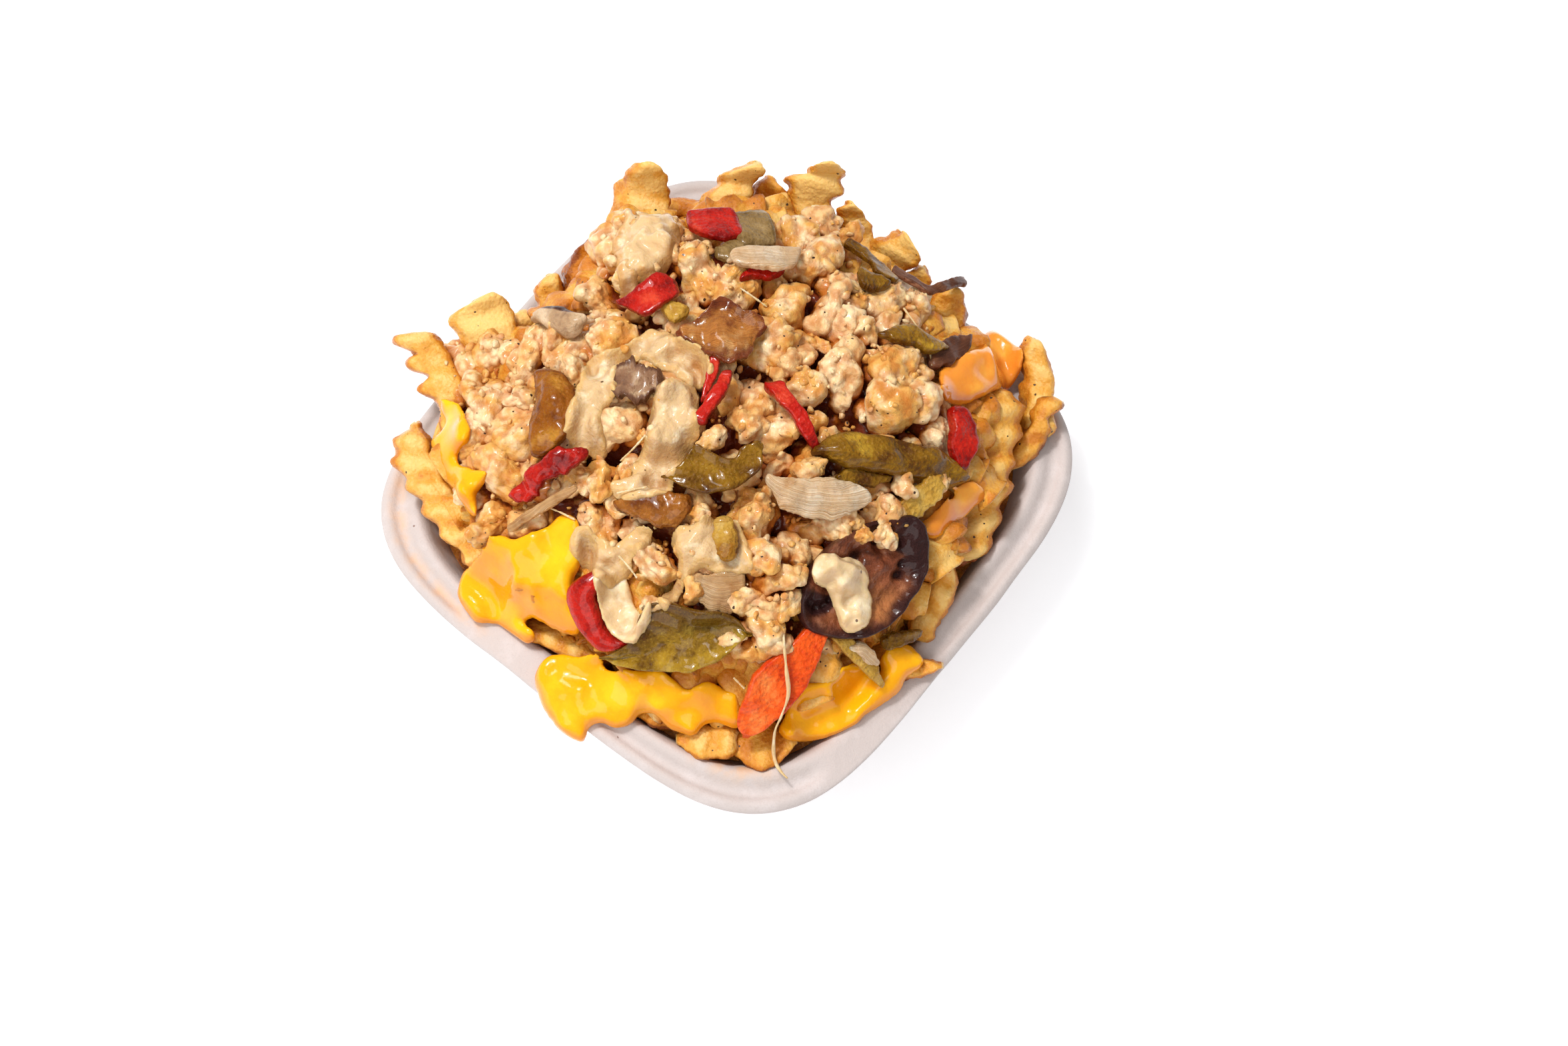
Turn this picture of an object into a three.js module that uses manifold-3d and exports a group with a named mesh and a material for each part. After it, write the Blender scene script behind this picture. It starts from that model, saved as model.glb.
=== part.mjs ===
// Chicken and pepper loaded crinkle fries in a square moulded-fibre tray.
//
// Millimetres, +Z up. The origin is the centre of the tray's flat foot, the
// tray's sides are parallel to X and Y, and the pile of food is heaped well
// above the rim. Every topping is its own closed solid. The fries are one
// heap: a core that fills the tray with the crinkle fries that show fused on.
// The chopped chicken is a second heap of the same kind that lies on it.
// Pieces are settled from the top of the pile down: each one is cut by those
// that are already in place, grown by a small gap, so that nothing overlaps.

import * as THREE from 'three';
import { mergeVertices } from 'three/addons/utils/BufferGeometryUtils.js';
import Module from 'manifold-3d';

const wasm = await Module();
wasm.setup();

// Tray, a 6 inch square base with bowed sides
const TRAY_HALF = 82.5;
const TRAY_POWER = 4.2;
const TRAY_SEGMENTS = 36;
const GAP = 0.3;

// Tray section, as inset from the outer edge and height. The wall lies between two insets
const TRAY_TOP = [
  [24.5, 1.8], [22.5, 4.2], [12.2, 30.5], [10.4, 35.0],
  [8.2, 36.0], [4.8, 33.4], [2.2, 35.0], [0.0, 33.4],
];
const TRAY_UNDER = [
  [0.5, 31.9], [2.4, 32.9], [4.9, 31.8], [8.3, 34.2],
  [10.6, 29.8], [20.7, 3.6], [23.5, 0.0],
];
const WALL_FROM = 9.5;
const WALL_TO = 23.2;
const GROOVE_INSET = 8.0;
const PLAIN_LIP_HEIGHT = 33.8;
const PLAIN_LIP_RISE = 2.0;
const PLAIN_LIP_THICK = 1.7;

// Stretches where the rim's groove gives way to a plain flare: side, middle, half length
const PLAIN_STRETCHES = [
  { axis: 'y', side: -1, middle: -8, half: 22 },
  { axis: 'x', side: 1, middle: -32, half: 20 },
];
const GROOVE_FADE = 7;

// Pile, a dome that leans a little towards the far left corner
const PILE_LOW = 41;
const PILE_RISE = 38;
const PILE_POWER = 2.4;
const PILE_ROUND = 2.6;
const PILE_LEAN = 0.055;
const PILE_CENTRE = { x: -4, y: 4 };

const FRY_WIDTH = 11.5;
const FRY_THICK = 9.0;
const RIDGE_PITCH = 8.0;
const RIDGE_DEPTH = 1.3;
const PLAIN_ROOT = 0.4;

// Lumps above this radius are rounder, and all are dented and sunk by a share of it
const ROUND_LUMP = 8.4;
const LUMP_DENT = 0.16;
const LUMP_SUNK = 0.35;
const LUMP_SQUASH = 0.9;

// Width of a band at its ends, as a share of that at its middle
const END_SHARE = 0.75;

// Cores of the two heaps: half width and height from the bottom up, and the rise of the crown
const CORE_SEGMENTS = 24;
const FRIES_CORE = {
  levels: [[56, 2.3], [61.5, 15], [65, 29], [65, 38], [61, 42.5]],
  crown: 4.0,
  power: 3.4,
  centre: { x: 0, y: 0 },
  lean: 0,
};
const CHICKEN_CORE = {
  levels: [[62, 48.4], [68, 50.5], [60, 58], [48, 66], [32, 72], [15, 75]],
  crown: 0.5,
  power: PILE_ROUND,
  centre: PILE_CENTRE,
  lean: PILE_LEAN,
};
const KEPT_SHARE = 0.45;

const COLOUR = {
  fibre: 0xe9e2df,
  fry: 0xe2a440,
  chicken: 0xe3c28f,
  red: 0xc8281c,
  green: 0x8a7a2c,
  onion: 0xdcc7a4,
  browned: 0xa2602c,
  mushroom: 0x6b4534,
  melted: 0xf0dfb4,
  sauce: 0xf2b02a,
};

function superRadius(angle, power) {
  const c = Math.abs(Math.cos(angle)) ** power;
  const s = Math.abs(Math.sin(angle)) ** power;
  return 1 / (c + s) ** (1 / power);
}

// How far out a plan point lies, as a share of the tray's half width
function pileShare(x, y) {
  const dx = Math.abs(x - PILE_CENTRE.x) ** PILE_ROUND;
  const dy = Math.abs(y - PILE_CENTRE.y) ** PILE_ROUND;
  return (dx + dy) ** (1 / PILE_ROUND) / TRAY_HALF;
}

function pileHeight(x, y) {
  const share = Math.min(pileShare(x, y), 1.1);
  return PILE_LOW + PILE_LEAN * (y - x) + PILE_RISE * (1 - share ** PILE_POWER);
}

function pileNormal(x, y) {
  const step = 1.5;
  const dx = (pileHeight(x + step, y) - pileHeight(x - step, y)) / (2 * step);
  const dy = (pileHeight(x, y + step) - pileHeight(x, y - step)) / (2 * step);
  return new THREE.Vector3(-dx, -dy, 1).normalize();
}

function onPile([x, y, lift]) {
  return new THREE.Vector3(x, y, pileHeight(x, y) + lift);
}

// Closed surface through rings of points, shut at both ends by a pole
function skin(rings, firstPole, lastPole) {
  const count = rings[0].length;
  const position = [];
  const index = [];
  rings.flat().forEach((p) => position.push(p.x, p.y, p.z));
  const first = position.length / 3;
  position.push(firstPole.x, firstPole.y, firstPole.z);
  position.push(lastPole.x, lastPole.y, lastPole.z);
  for (let j = 0; j < count; j += 1) {
    const k = (j + 1) % count;
    index.push(first, k, j);
    for (let i = 0; i + 1 < rings.length; i += 1) {
      const a = i * count;
      const b = a + count;
      index.push(a + j, a + k, b + k, a + j, b + k, b + j);
    }
    const end = (rings.length - 1) * count;
    index.push(first + 1, end + j, end + k);
  }
  const geometry = new THREE.BufferGeometry();
  geometry.setAttribute('position', new THREE.Float32BufferAttribute(position, 3));
  geometry.setIndex(index);
  return geometry;
}

function toSolid(geometry) {
  const bare = geometry.clone();
  bare.deleteAttribute('normal');
  bare.deleteAttribute('uv');
  const merged = mergeVertices(bare, 1e-4);
  const solid = new wasm.Manifold(new wasm.Mesh({
    numProp: 3,
    vertProperties: new Float32Array(merged.attributes.position.array),
    triVerts: new Uint32Array(merged.index.array),
  }));
  if (solid.volume() > 0) return solid;
  const flipped = new Uint32Array(merged.index.array).reverse();
  return new wasm.Manifold(new wasm.Mesh({
    numProp: 3,
    vertProperties: new Float32Array(merged.attributes.position.array),
    triVerts: flipped,
  }));
}

function toGeometry(solid) {
  const mesh = solid.getMesh();
  const geometry = new THREE.BufferGeometry();
  geometry.setAttribute('position', new THREE.BufferAttribute(new Float32Array(mesh.vertProperties), 3));
  geometry.setIndex(new THREE.BufferAttribute(new Uint32Array(mesh.triVerts), 1));
  geometry.computeVertexNormals();
  return geometry;
}

function joinAll(solids) {
  return solids.reduce((whole, next) => whole.add(next));
}

// A cut or a join can leave loose scraps, and only the main body is kept
function mainBody(solid) {
  const bodies = solid.decompose();
  return bodies.reduce((best, next) => (next.volume() > best.volume() ? next : best));
}

// Seeded noise from -1 to 1, for the uneven shape of the lumps
function noise(seed) {
  const wave = Math.sin(seed * 127.1 + 311.7) * 43758.5453;
  return 2 * (wave - Math.floor(wave)) - 1;
}

// Square fry cut with a wavy blade, from one end to the other. The share of it that lies
// in the heap, its root, has no ridges
function fry(shape, grow = 0) {
  const { from, to, width = FRY_WIDTH, thick = FRY_THICK, ridge = RIDGE_DEPTH } = shape;
  const { turn = 0, root = PLAIN_ROOT } = shape;
  const start = new THREE.Vector3(...from);
  const end = new THREE.Vector3(...to);
  const along = end.clone().sub(start);
  const length = along.length();
  along.normalize();
  const side = new THREE.Vector3(0, 0, 1).cross(along).normalize();
  side.applyAxisAngle(along, THREE.MathUtils.degToRad(turn));
  const top = along.clone().cross(side);
  const steps = Math.max(2, Math.round(((1 - root) * 2 * length) / RIDGE_PITCH));
  const rings = [];
  for (let i = root > 0 ? -1 : 0; i <= steps; i += 1) {
    const wave = (i % 2 === 0 ? -1 : 1) * ridge;
    const halfWidth = width / 2 + wave + grow;
    const halfThick = thick / 2 + 0.6 * wave + grow;
    const share = i < 0 ? 0 : root + (1 - root) * (i / steps);
    const reach = share * (length + 2 * grow) - grow;
    const centre = start.clone().addScaledVector(along, reach);
    rings.push([[1, 1], [-1, 1], [-1, -1], [1, -1]].map(([a, b]) => centre.clone()
      .addScaledVector(side, a * halfWidth)
      .addScaledVector(top, b * halfThick)));
  }
  const ends = [rings[0], rings[rings.length - 1]];
  const poles = ends.map((ring) => ring[0].clone().add(ring[2]).multiplyScalar(0.5));
  return toSolid(skin(rings, poles[0], poles[1]));
}

// Craggy lump of chicken, a dented ball squashed against the pile
function lump([x, y, radius], grow = 0) {
  const shape = radius > ROUND_LUMP
    ? new THREE.DodecahedronGeometry(1, 0)
    : new THREE.IcosahedronGeometry(1, 0);
  const centre = onPile([x, y, -LUMP_SUNK * radius]);
  const place = shape.attributes.position;
  const p = new THREE.Vector3();
  for (let i = 0; i < place.count; i += 1) {
    p.fromBufferAttribute(place, i);
    const key = Math.round(p.x * 50) + Math.round(p.y * 50) * 3 + Math.round(p.z * 50) * 7;
    const dent = 1 + LUMP_DENT * noise(key + 13 * x + 7 * y);
    p.multiplyScalar(radius * dent + grow);
    p.z *= LUMP_SQUASH;
    p.add(centre);
    place.setXYZ(i, p.x, p.y, p.z);
  }
  return toSolid(shape);
}

// Band that follows a path on the pile, with a four sided section or a soft six sided one
function band({ path, width, thick, bank = 0, soft = false, steps = 5 }, grow = 0) {
  const curve = new THREE.CatmullRomCurve3(path.map(onPile), false, 'centripetal');
  const section = soft
    ? [[1, 0], [0.55, 0.46], [-0.55, 0.46], [-1, 0], [-0.55, -0.5], [0.55, -0.5]]
    : [[1, 0.5], [-1, 0.5], [-1, -0.5], [1, -0.5]];
  const widths = Array.isArray(width) ? width : [width, width];
  const rings = [];
  const centres = [];
  for (let i = 0; i <= steps; i += 1) {
    const t = i / steps;
    const centre = curve.getPointAt(t);
    const along = curve.getTangentAt(t);
    const normal = pileNormal(centre.x, centre.y).applyAxisAngle(along, THREE.MathUtils.degToRad(bank));
    const side = along.clone().cross(normal).normalize();
    const up = side.clone().cross(along);
    const slot = t * (widths.length - 1);
    const low = Math.min(Math.floor(slot), widths.length - 2);
    const wide = THREE.MathUtils.lerp(widths[low], widths[low + 1], slot - low);
    const belly = END_SHARE + (1 - END_SHARE) * Math.sin(Math.PI * t) ** 0.6;
    const end = i === 0 ? -grow : i === steps ? grow : 0;
    centre.addScaledVector(along, end);
    centres.push(centre);
    rings.push(section.map(([a, b]) => centre.clone()
      .addScaledVector(side, a * ((wide * belly) / 2 + grow))
      .addScaledVector(up, b * ((soft ? 0.5 + 0.5 * belly : 1) * thick + 2 * grow))));
  }
  return toSolid(skin(rings, centres[0], centres[steps]));
}

// Flat round slice with a soft edge, leaning with the pile
function slice({ at, radii, thick, lean }, grow = 0) {
  const centre = onPile(at);
  const normal = pileNormal(at[0], at[1]).add(new THREE.Vector3(...lean)).normalize();
  const side = new THREE.Vector3(1, 0, 0).cross(normal).normalize();
  const front = side.clone().cross(normal);
  const levels = [[0.9, -0.5], [1, -0.15], [0.98, 0.2], [0.86, 0.5]];
  const rings = levels.map(([share, level]) => radii.map((radius, i) => {
    const angle = (2 * Math.PI * i) / radii.length;
    const reach = radius * share + grow;
    return centre.clone()
      .addScaledVector(front, reach * Math.cos(angle))
      .addScaledVector(side, reach * Math.sin(angle))
      .addScaledVector(normal, level * (thick + 2 * grow));
  }));
  const bottom = centre.clone().addScaledVector(normal, -0.5 * (thick + 2 * grow));
  const top = centre.clone().addScaledVector(normal, 0.5 * (thick + 2 * grow));
  return toSolid(skin(rings, bottom, top));
}

// Share of the groove that is left at a rim point, 0 where the rim is plain
function grooveShare(x, y) {
  let share = 1;
  for (const { axis, side, middle, half } of PLAIN_STRETCHES) {
    const out = axis === 'x' ? x : y;
    const run = axis === 'x' ? y : x;
    if (Math.sign(out) !== side || Math.abs(out) < 0.9 * TRAY_HALF) continue;
    const past = Math.abs(run - middle) - half;
    share = Math.min(share, THREE.MathUtils.clamp(past / GROOVE_FADE, 0, 1));
  }
  return share;
}

// Tray, a dished shell with a rolled and grooved rim
function tray(grow = 0) {
  const outline = [...TRAY_TOP, ...TRAY_UNDER];
  const rings = outline.map(() => []);
  for (let j = 0; j < TRAY_SEGMENTS; j += 1) {
    const angle = (2 * Math.PI * j) / TRAY_SEGMENTS;
    const unit = superRadius(angle, TRAY_POWER);
    const grooved = grooveShare(TRAY_HALF * unit * Math.cos(angle), TRAY_HALF * unit * Math.sin(angle));
    outline.forEach(([inset, height], i) => {
      const upper = i < TRAY_TOP.length;
      const isRim = inset < GROOVE_INSET;
      const rise = (inset / GROOVE_INSET) * PLAIN_LIP_RISE;
      const plain = PLAIN_LIP_HEIGHT + rise - (upper ? 0 : PLAIN_LIP_THICK);
      const z = isRim ? THREE.MathUtils.lerp(plain, height, grooved) : height;
      const wall = inset > WALL_FROM && inset < WALL_TO;
      const outward = (upper ? -1 : 1) * (wall ? grow : 0);
      const lift = (upper ? 1 : -1) * (wall ? 0 : grow);
      const edge = i === TRAY_TOP.length - 1 || i === TRAY_TOP.length ? grow : 0;
      const reach = (TRAY_HALF - inset + outward + edge) * unit;
      rings[i].push(new THREE.Vector3(reach * Math.cos(angle), reach * Math.sin(angle), z + lift));
    });
  }
  const floor = new THREE.Vector3(0, 0, TRAY_TOP[0][1] + grow);
  const foot = new THREE.Vector3(0, 0, -grow);
  return toSolid(skin(rings, floor, foot));
}

// Dome or block with superellipse rings
function heapCore({ levels, crown, power, centre, lean }, grow = 0) {
  const rings = levels.map(([half, height], i) => {
    const ring = [];
    const lift = i === 0 ? -grow : i === levels.length - 1 ? grow : 0;
    for (let j = 0; j < CORE_SEGMENTS; j += 1) {
      const angle = (2 * Math.PI * j) / CORE_SEGMENTS;
      const reach = (half + grow) * superRadius(angle, power);
      const x = centre.x + reach * Math.cos(angle);
      const y = centre.y + reach * Math.sin(angle);
      ring.push(new THREE.Vector3(x, y, height + lean * (y - x) + lift));
    }
    return ring;
  });
  const middle = (i, lift) => new THREE.Vector3(centre.x, centre.y, levels[i][1] + lift);
  return toSolid(skin(rings, middle(0, -grow), middle(levels.length - 1, grow + crown)));
}

// Crinkle fries that show, by their two ends, rim left then round by the back
const FRIES = [
  { from: [-58, -36, 38], to: [-88, -28, 63], width: 12, ridge: 2.6, turn: 60 },
  { from: [-76, -50, 44], to: [-32, -62, 40], ridge: 1.3, root: 0 },
  { from: [-62, -14, 40], to: [-84, -13, 59], width: 13, thick: 10, ridge: 0.9 },
  { from: [-60, 8, 40], to: [-77, 11, 52], width: 10 },
  { from: [-57, 6, 46], to: [-71, 27, 62], turn: 20 },
  { from: [-60, 30, 42], to: [-71, 50, 64], turn: 25 },
  { from: [-70, 50, 43], to: [-52, 62, 44], ridge: 0.8 },
  { from: [-54, 56, 44], to: [-46, 74, 59], turn: 15 },
  { from: [-46, 62, 42], to: [-38, 78, 52] },
  { from: [-26, 62, 42], to: [-32, 85, 63], width: 13, ridge: 2.4, turn: 20 },
  { from: [-10, 66, 42], to: [-21, 82, 55], width: 9 },
  { from: [1, 62, 40], to: [-3, 84, 53], width: 13, thick: 10, ridge: 0.8 },
  { from: [4, 68, 40], to: [10, 83, 45], width: 9 },
  { from: [24, 60, 40], to: [18, 79, 50], width: 11 },
  { from: [56, 60, 36], to: [48, 81, 44], width: 11, turn: 20 },
  { from: [59, 44, 38], to: [50, 64, 47], width: 14, ridge: 1.8 },
  { from: [69, 24, 35], to: [60, 50, 40], width: 10 },
  { from: [58, 56, 34], to: [63, 70, 42], width: 11, ridge: 1.7, turn: 30 },
  { from: [56, 14, 36], to: [70, 32, 35], width: 10 },
  { from: [62, -4, 37], to: [69, 13, 42], width: 10, thick: 8, turn: 20 },
  { from: [-14, -66, 33], to: [6, -66, 36], width: 10 },
  { from: [42, -44, 43], to: [24, -62, 40], width: 11, ridge: 1.6 },
  { from: [38, -64, 34], to: [54, -64, 37], width: 10, ridge: 1.0 },
  { from: [52, -58, 34], to: [66, -52, 36], width: 10 },
  { from: [62, -18, 35], to: [82, -10, 38], width: 8, thick: 7 },
  { from: [36, 64, 36], to: [56, 66, 38], width: 11 },
];

// Chopped chicken, as plan place and radius, from the back to the front
const LUMPS = [
  [-58, 26, 10], [-50, 33, 7], [-65, 31, 6], [-50, 8, 6.6], [-37, 32, 6.6], [-30, 29, 8],
  [-21, 31, 7], [-29, 61, 7.5], [-19, 66, 6.8], [-19, 57, 7], [-10, 64, 6.2], [-11, 51, 8],
  [-2, 53, 9], [-7, 34, 7], [3, 41, 7], [10, 43, 7], [8, 61, 8], [15, 63, 6], [-4, 23, 8],
  [16, 28, 7], [25, 41, 9], [33, 32, 9], [37, 43, 6], [45, 35, 6], [5, 4, 9], [14, 5, 6.6],
  [-15, -8, 7], [-8, -17, 7], [-47, -7, 8], [-38, -2, 7], [-57, -14, 7.5], [-68, -19, 6],
  [-78, -23, 7], [-70, -29, 7], [-60, -31, 7.5], [-55, -41, 7.5], [-45, -35, 8], [-42, -45, 8],
  [-36, -56, 7], [-27, -52, 6], [-30, -17, 7], [-27, -26, 7], [-20, -21, 7], [-9, -30, 7],
  [22, -16, 7], [18, -32, 8], [33, -24, 8], [38, -17, 6.4], [37, -33, 7], [44, -38, 6.6],
  [41, -3, 7], [47, 6, 6], [9, -40, 6.4], [-66, 44, 6], [-45, 61, 6.4], [-72, 8, 6],
];

const RED = {
  red_pepper_back: { path: [[-46, 41, 4], [-36, 49, 4]], width: 9, thick: 3, bank: -35, steps: 3 },
  red_pepper_tucked: { path: [[-24, 36, 3], [-15, 44, 3]], width: 4.5, thick: 3, steps: 3 },
  red_pepper_upper: { path: [[-33, 20, 4], [-38, 14, 5], [-43, 8, 4]], width: 9, thick: 3 },
  red_pepper_strip: { path: [[-13, 11, 4], [-7, 0, 4]], width: 4.5, thick: 3, steps: 3 },
  red_pepper_crossed: { path: [[-5, 9, 7], [-4, 0, 7.5], [-3, -8, 7]], width: 6, thick: 3.2 },
  red_pepper_long: { path: [[3, 14, 5], [14, 12, 6], [25, 7, 4]], width: 5.5, thick: 3.2 },
  red_pepper_left: { path: [[-34, -51, 5], [-29, -40, 6], [-23, -30, 5]], width: 7, thick: 3.2 },
  red_pepper_glossy: { path: [[-6, -52, 4], [-3, -62, 5], [15, -64, 4]], width: [7, 9, 6], thick: 3.6 },
  red_pepper_front: { path: [[54, -30, 5], [54, -43, 6], [50, -58, 5]], width: [12, 15, 12], thick: 4 },
  red_pepper_right: { path: [[46, 47, 4], [55, 35, 4]], width: 8, thick: 4, steps: 3 },
};

const GREEN = {
  green_pepper_back: { path: [[-34, 58, 3], [-26, 47, 3]], width: 11, thick: 3, steps: 3 },
  green_pepper_back_low: { path: [[-37, 41, 1], [-28, 43, 1]], width: 5, thick: 2.6, steps: 3 },
  green_pepper_upper: { path: [[-34, 15, 3], [-25, 13, 3]], width: 8, thick: 3, steps: 3 },
  green_pepper_slab: { path: [[-47, -21, 5], [-38, -26, 6], [-30, -32, 5]], width: 11, thick: 4 },
  green_pepper_curved: { path: [[-1, -22, 5], [7, -19, 6], [15, -6, 5]], width: [7, 11, 7], thick: 4 },
  green_pepper_long: { path: [[24, 9, 4], [38, 18, 5], [57, 32, 5]], width: [9, 12, 11], thick: 4 },
  green_pepper_small: { path: [[51, 10, 4], [57, 29, 6]], width: 7, thick: 3.6, steps: 3 },
  green_pepper_nub: { path: [[33, 7, 3], [43, 9, 3]], width: 5, thick: 3, steps: 3 },
  green_pepper_brown: { path: [[-9, -34, 3], [9, -28, 4]], width: 9, thick: 3, steps: 4 },
  green_pepper_bit: { path: [[18, -25, 4], [25, -28, 4]], width: 6, thick: 3, steps: 3 },
  green_pepper_leaf: { path: [[9, -69, 5], [22, -57, 7], [39, -41, 5]], width: [8, 18, 8], thick: 3.6 },
  green_pepper_corner: { path: [[57, -28, 4], [71, -25, 4]], width: 6, thick: 3, steps: 3 },
  green_pepper_chip: { path: [[66, -15, 3], [74, -7, 3]], width: 5, thick: 3, steps: 3 },
  green_pepper_right: { path: [[17, 47, 4], [24, 54, 5], [32, 59, 4]], width: [6, 10, 6], thick: 3.2 },
  green_pepper_far: { path: [[0, 59, 4], [8, 60, 4]], width: 5, thick: 3, steps: 3 },
  green_pepper_edge: { path: [[-6, 68, 4], [7, 69, 4]], width: 5, thick: 2.6, steps: 3 },
};

const ONION = {
  onion_back: { path: [[-29, 36, 5], [-23, 47, 7], [-14, 52, 5]], width: 7, thick: 3 },
  onion_centre: { path: [[21, -11, 5], [31, -2, 6], [45, 9, 4]], width: [8, 12, 8], thick: 3.2 },
  onion_clear: { path: [[20, -42, 4], [35, -37, 4]], width: 10, thick: 2.6, steps: 3 },
  onion_curl: { path: [[61, -22, 6], [70, -19, 5]], width: 5, thick: 3.2, steps: 3 },
  onion_stick: { path: [[-34, -57, 5], [-20, -43, 5]], width: 3.6, thick: 2.6, steps: 3 },
};

const BROWNED = {
  onion_browned: { path: [[-22, 11, 4], [-14, 17, 5], [-4, 20, 4]], width: [12, 17, 12], thick: 4 },
  browned_strip: { path: [[3, 71, 3], [12, 74, 5], [18, 86, 7]], width: 3.4, thick: 3.2 },
  browned_piece: { path: [[31, 57, 2], [33, 69, 2]], width: 7, thick: 4, steps: 3 },
};

const MUSHROOM_STRIPS = {
  mushroom_cap: { path: [[-67, -5, 3], [-49, 1, 5]], width: [5, 9, 5], thick: 5, steps: 4, soft: true },
  mushroom_piece: { path: [[-31, -8, 4], [-18, -10, 4]], width: 11, thick: 4, steps: 4, soft: true },
};
const MUSHROOM_SLICE = {
  at: [55, -10, 4],
  radii: [15, 17, 18, 18, 17, 16, 17, 18, 18, 17, 15, 14, 15, 16],
  thick: 5,
  lean: [0.0, -0.05, 0.25],
};

const MELTED = {
  melted_cheese_left: {
    path: [[-30, -24, 5], [-41, -12, 6], [-34, -1, 6], [-22, 4, 6], [-9, 4, 6]],
    width: [8, 11, 9, 13, 10], steps: 8, thick: 4,
  },
  melted_cheese_centre: {
    path: [[-17, -3, 6], [-8, -14, 7], [-8, -29, 5]],
    width: [9, 11, 11], thick: 5,
  },
  melted_cheese_front: { path: [[-15, -50, 5], [-4, -43, 6], [6, -32, 5]], width: [9, 9, 6], thick: 3.6 },
  melted_cheese_fork: { path: [[-4, -54, 7], [4, -56, 8], [15, -61, 7]], width: [7, 10, 7], thick: 4 },
  melted_cheese_slice: { path: [[46, -14, 9], [52, -17, 9.5], [60, -22, 8]], width: [12, 12, 9], thick: 4.4 },
  melted_cheese_back: { path: [[-64, 24, 5], [-55, 33, 7], [-45, 34, 5]], width: [12, 16, 12], thick: 4.4 },
  melted_cheese_run: { path: [[-54, 28, 8], [-48, 18, 7], [-45, 10, 4]], width: [9, 7, 5], thick: 3.4 },
};

const SAUCE = {
  cheese_sauce_left: [
    { path: [[-73, -32, 0], [-65, -40, 2], [-57, -48, 2]], width: [9, 14, 9], thick: 8 },
  ],
  cheese_sauce_pool: [
    { path: [[-38, -59, 2], [-32, -68, 3], [-28, -77, 0]], width: [17, 24, 17], thick: 10, steps: 4 },
    { path: [[-30, -68, 3], [-17, -67, 4], [-2, -64, 1]], width: [18, 16, 11], thick: 9, steps: 3 },
    { path: [[-28, -62, 1], [-16, -46, 1]], width: [14, 11], thick: 8, steps: 2 },
  ],
  cheese_sauce_front: [
    {
      path: [[0, -80, 1], [10, -73, 4], [26, -67, 4], [42, -64, 3], [54, -58, 2]],
      width: [18, 21, 15, 17, 12], thick: 10, steps: 6,
    },
    { path: [[6, -77, 2], [13, -83, 0], [17, -86, -3]], width: [14, 12, 9], thick: 8, steps: 3 },
  ],
  cheese_sauce_corner: [
    {
      path: [[60, -53, 1], [69, -42, 3], [74, -28, 3], [77, -12, 3]],
      width: [11, 19, 14, 13], thick: 9, steps: 6,
    },
  ],
  cheese_sauce_right: [
    {
      path: [[31, 55, 0], [39, 60, 3], [42, 68, 5], [40, 77, 4]],
      width: [13, 17, 18, 13], thick: 13, steps: 6,
    },
  ],
  cheese_sauce_drape: [
    { path: [[56, 12, 3], [59, 24, 3], [65, 37, 4]], width: [9, 11, 9], thick: 5, steps: 4 },
  ],
};

const object = new THREE.Group();
const settled = [];
const cores = {
  fries: (grow) => heapCore(FRIES_CORE, grow),
  chicken: (grow) => heapCore(CHICKEN_CORE, grow),
};

function boxesMeet(a, b) {
  const p = a.boundingBox();
  const q = b.boundingBox();
  return [0, 1, 2].every((k) => p.min[k] < q.max[k] && q.min[k] < p.max[k]);
}

function cutClear(solid, others) {
  return others.reduce((rest, other) => (boxesMeet(rest, other) ? rest.subtract(other) : rest), solid);
}

function place(name, solid, colour, roughness) {
  const material = new THREE.MeshStandardMaterial({ color: colour, roughness, metalness: 0 });
  const mesh = new THREE.Mesh(toGeometry(mainBody(solid)), material);
  mesh.name = name;
  object.add(mesh);
}

// Puts a piece in its place: cut by what lies there already, then kept clear of
function settle(name, make, colour, roughness) {
  const others = [...settled, cores.fries(GAP), cores.chicken(GAP)];
  place(name, cutClear(make(0), others), colour, roughness);
  settled.push(make(GAP));
}

// A heap is its core with the pieces that show. One that mostly lies inside a topping is left out
function settleHeap(name, core, makers, otherCore, colour, roughness) {
  const pieces = [];
  const grown = [];
  for (const make of makers) {
    const whole = cutClear(make(0), [otherCore]);
    const rest = cutClear(whole, settled);
    if (rest.volume() < KEPT_SHARE * whole.volume()) continue;
    pieces.push(rest);
    grown.push(make(GAP));
  }
  place(name, joinAll([core(0), ...pieces]), colour, roughness);
  settled.push(...grown);
}

function settleBands(table, colour, roughness, soft) {
  for (const [name, shape] of Object.entries(table)) {
    settle(name, (grow) => band({ soft, ...shape }, grow), colour, roughness);
  }
}

settle('tray', tray, COLOUR.fibre, 0.85);
settleBands({ melted_cheese_slice: MELTED.melted_cheese_slice }, COLOUR.melted, 0.35, true);
settleBands({ melted_cheese_fork: MELTED.melted_cheese_fork }, COLOUR.melted, 0.35, true);
settleBands(RED, COLOUR.red, 0.3, false);
settleBands(GREEN, COLOUR.green, 0.35, false);
settleBands(ONION, COLOUR.onion, 0.35, false);
settleBands(BROWNED, COLOUR.browned, 0.3, false);
settle('mushroom_slice', (grow) => slice(MUSHROOM_SLICE, grow), COLOUR.mushroom, 0.35);
settleBands(MUSHROOM_STRIPS, COLOUR.mushroom, 0.35, true);
for (const [name, shape] of Object.entries(MELTED)) {
  if (object.getObjectByName(name)) continue;
  settle(name, (grow) => band({ ...shape, soft: true }, grow), COLOUR.melted, 0.35);
}
settleHeap(
  'chicken_heap',
  cores.chicken,
  LUMPS.map((at) => (grow) => lump(at, grow)),
  cores.fries(GAP),
  COLOUR.chicken,
  0.6,
);
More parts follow.
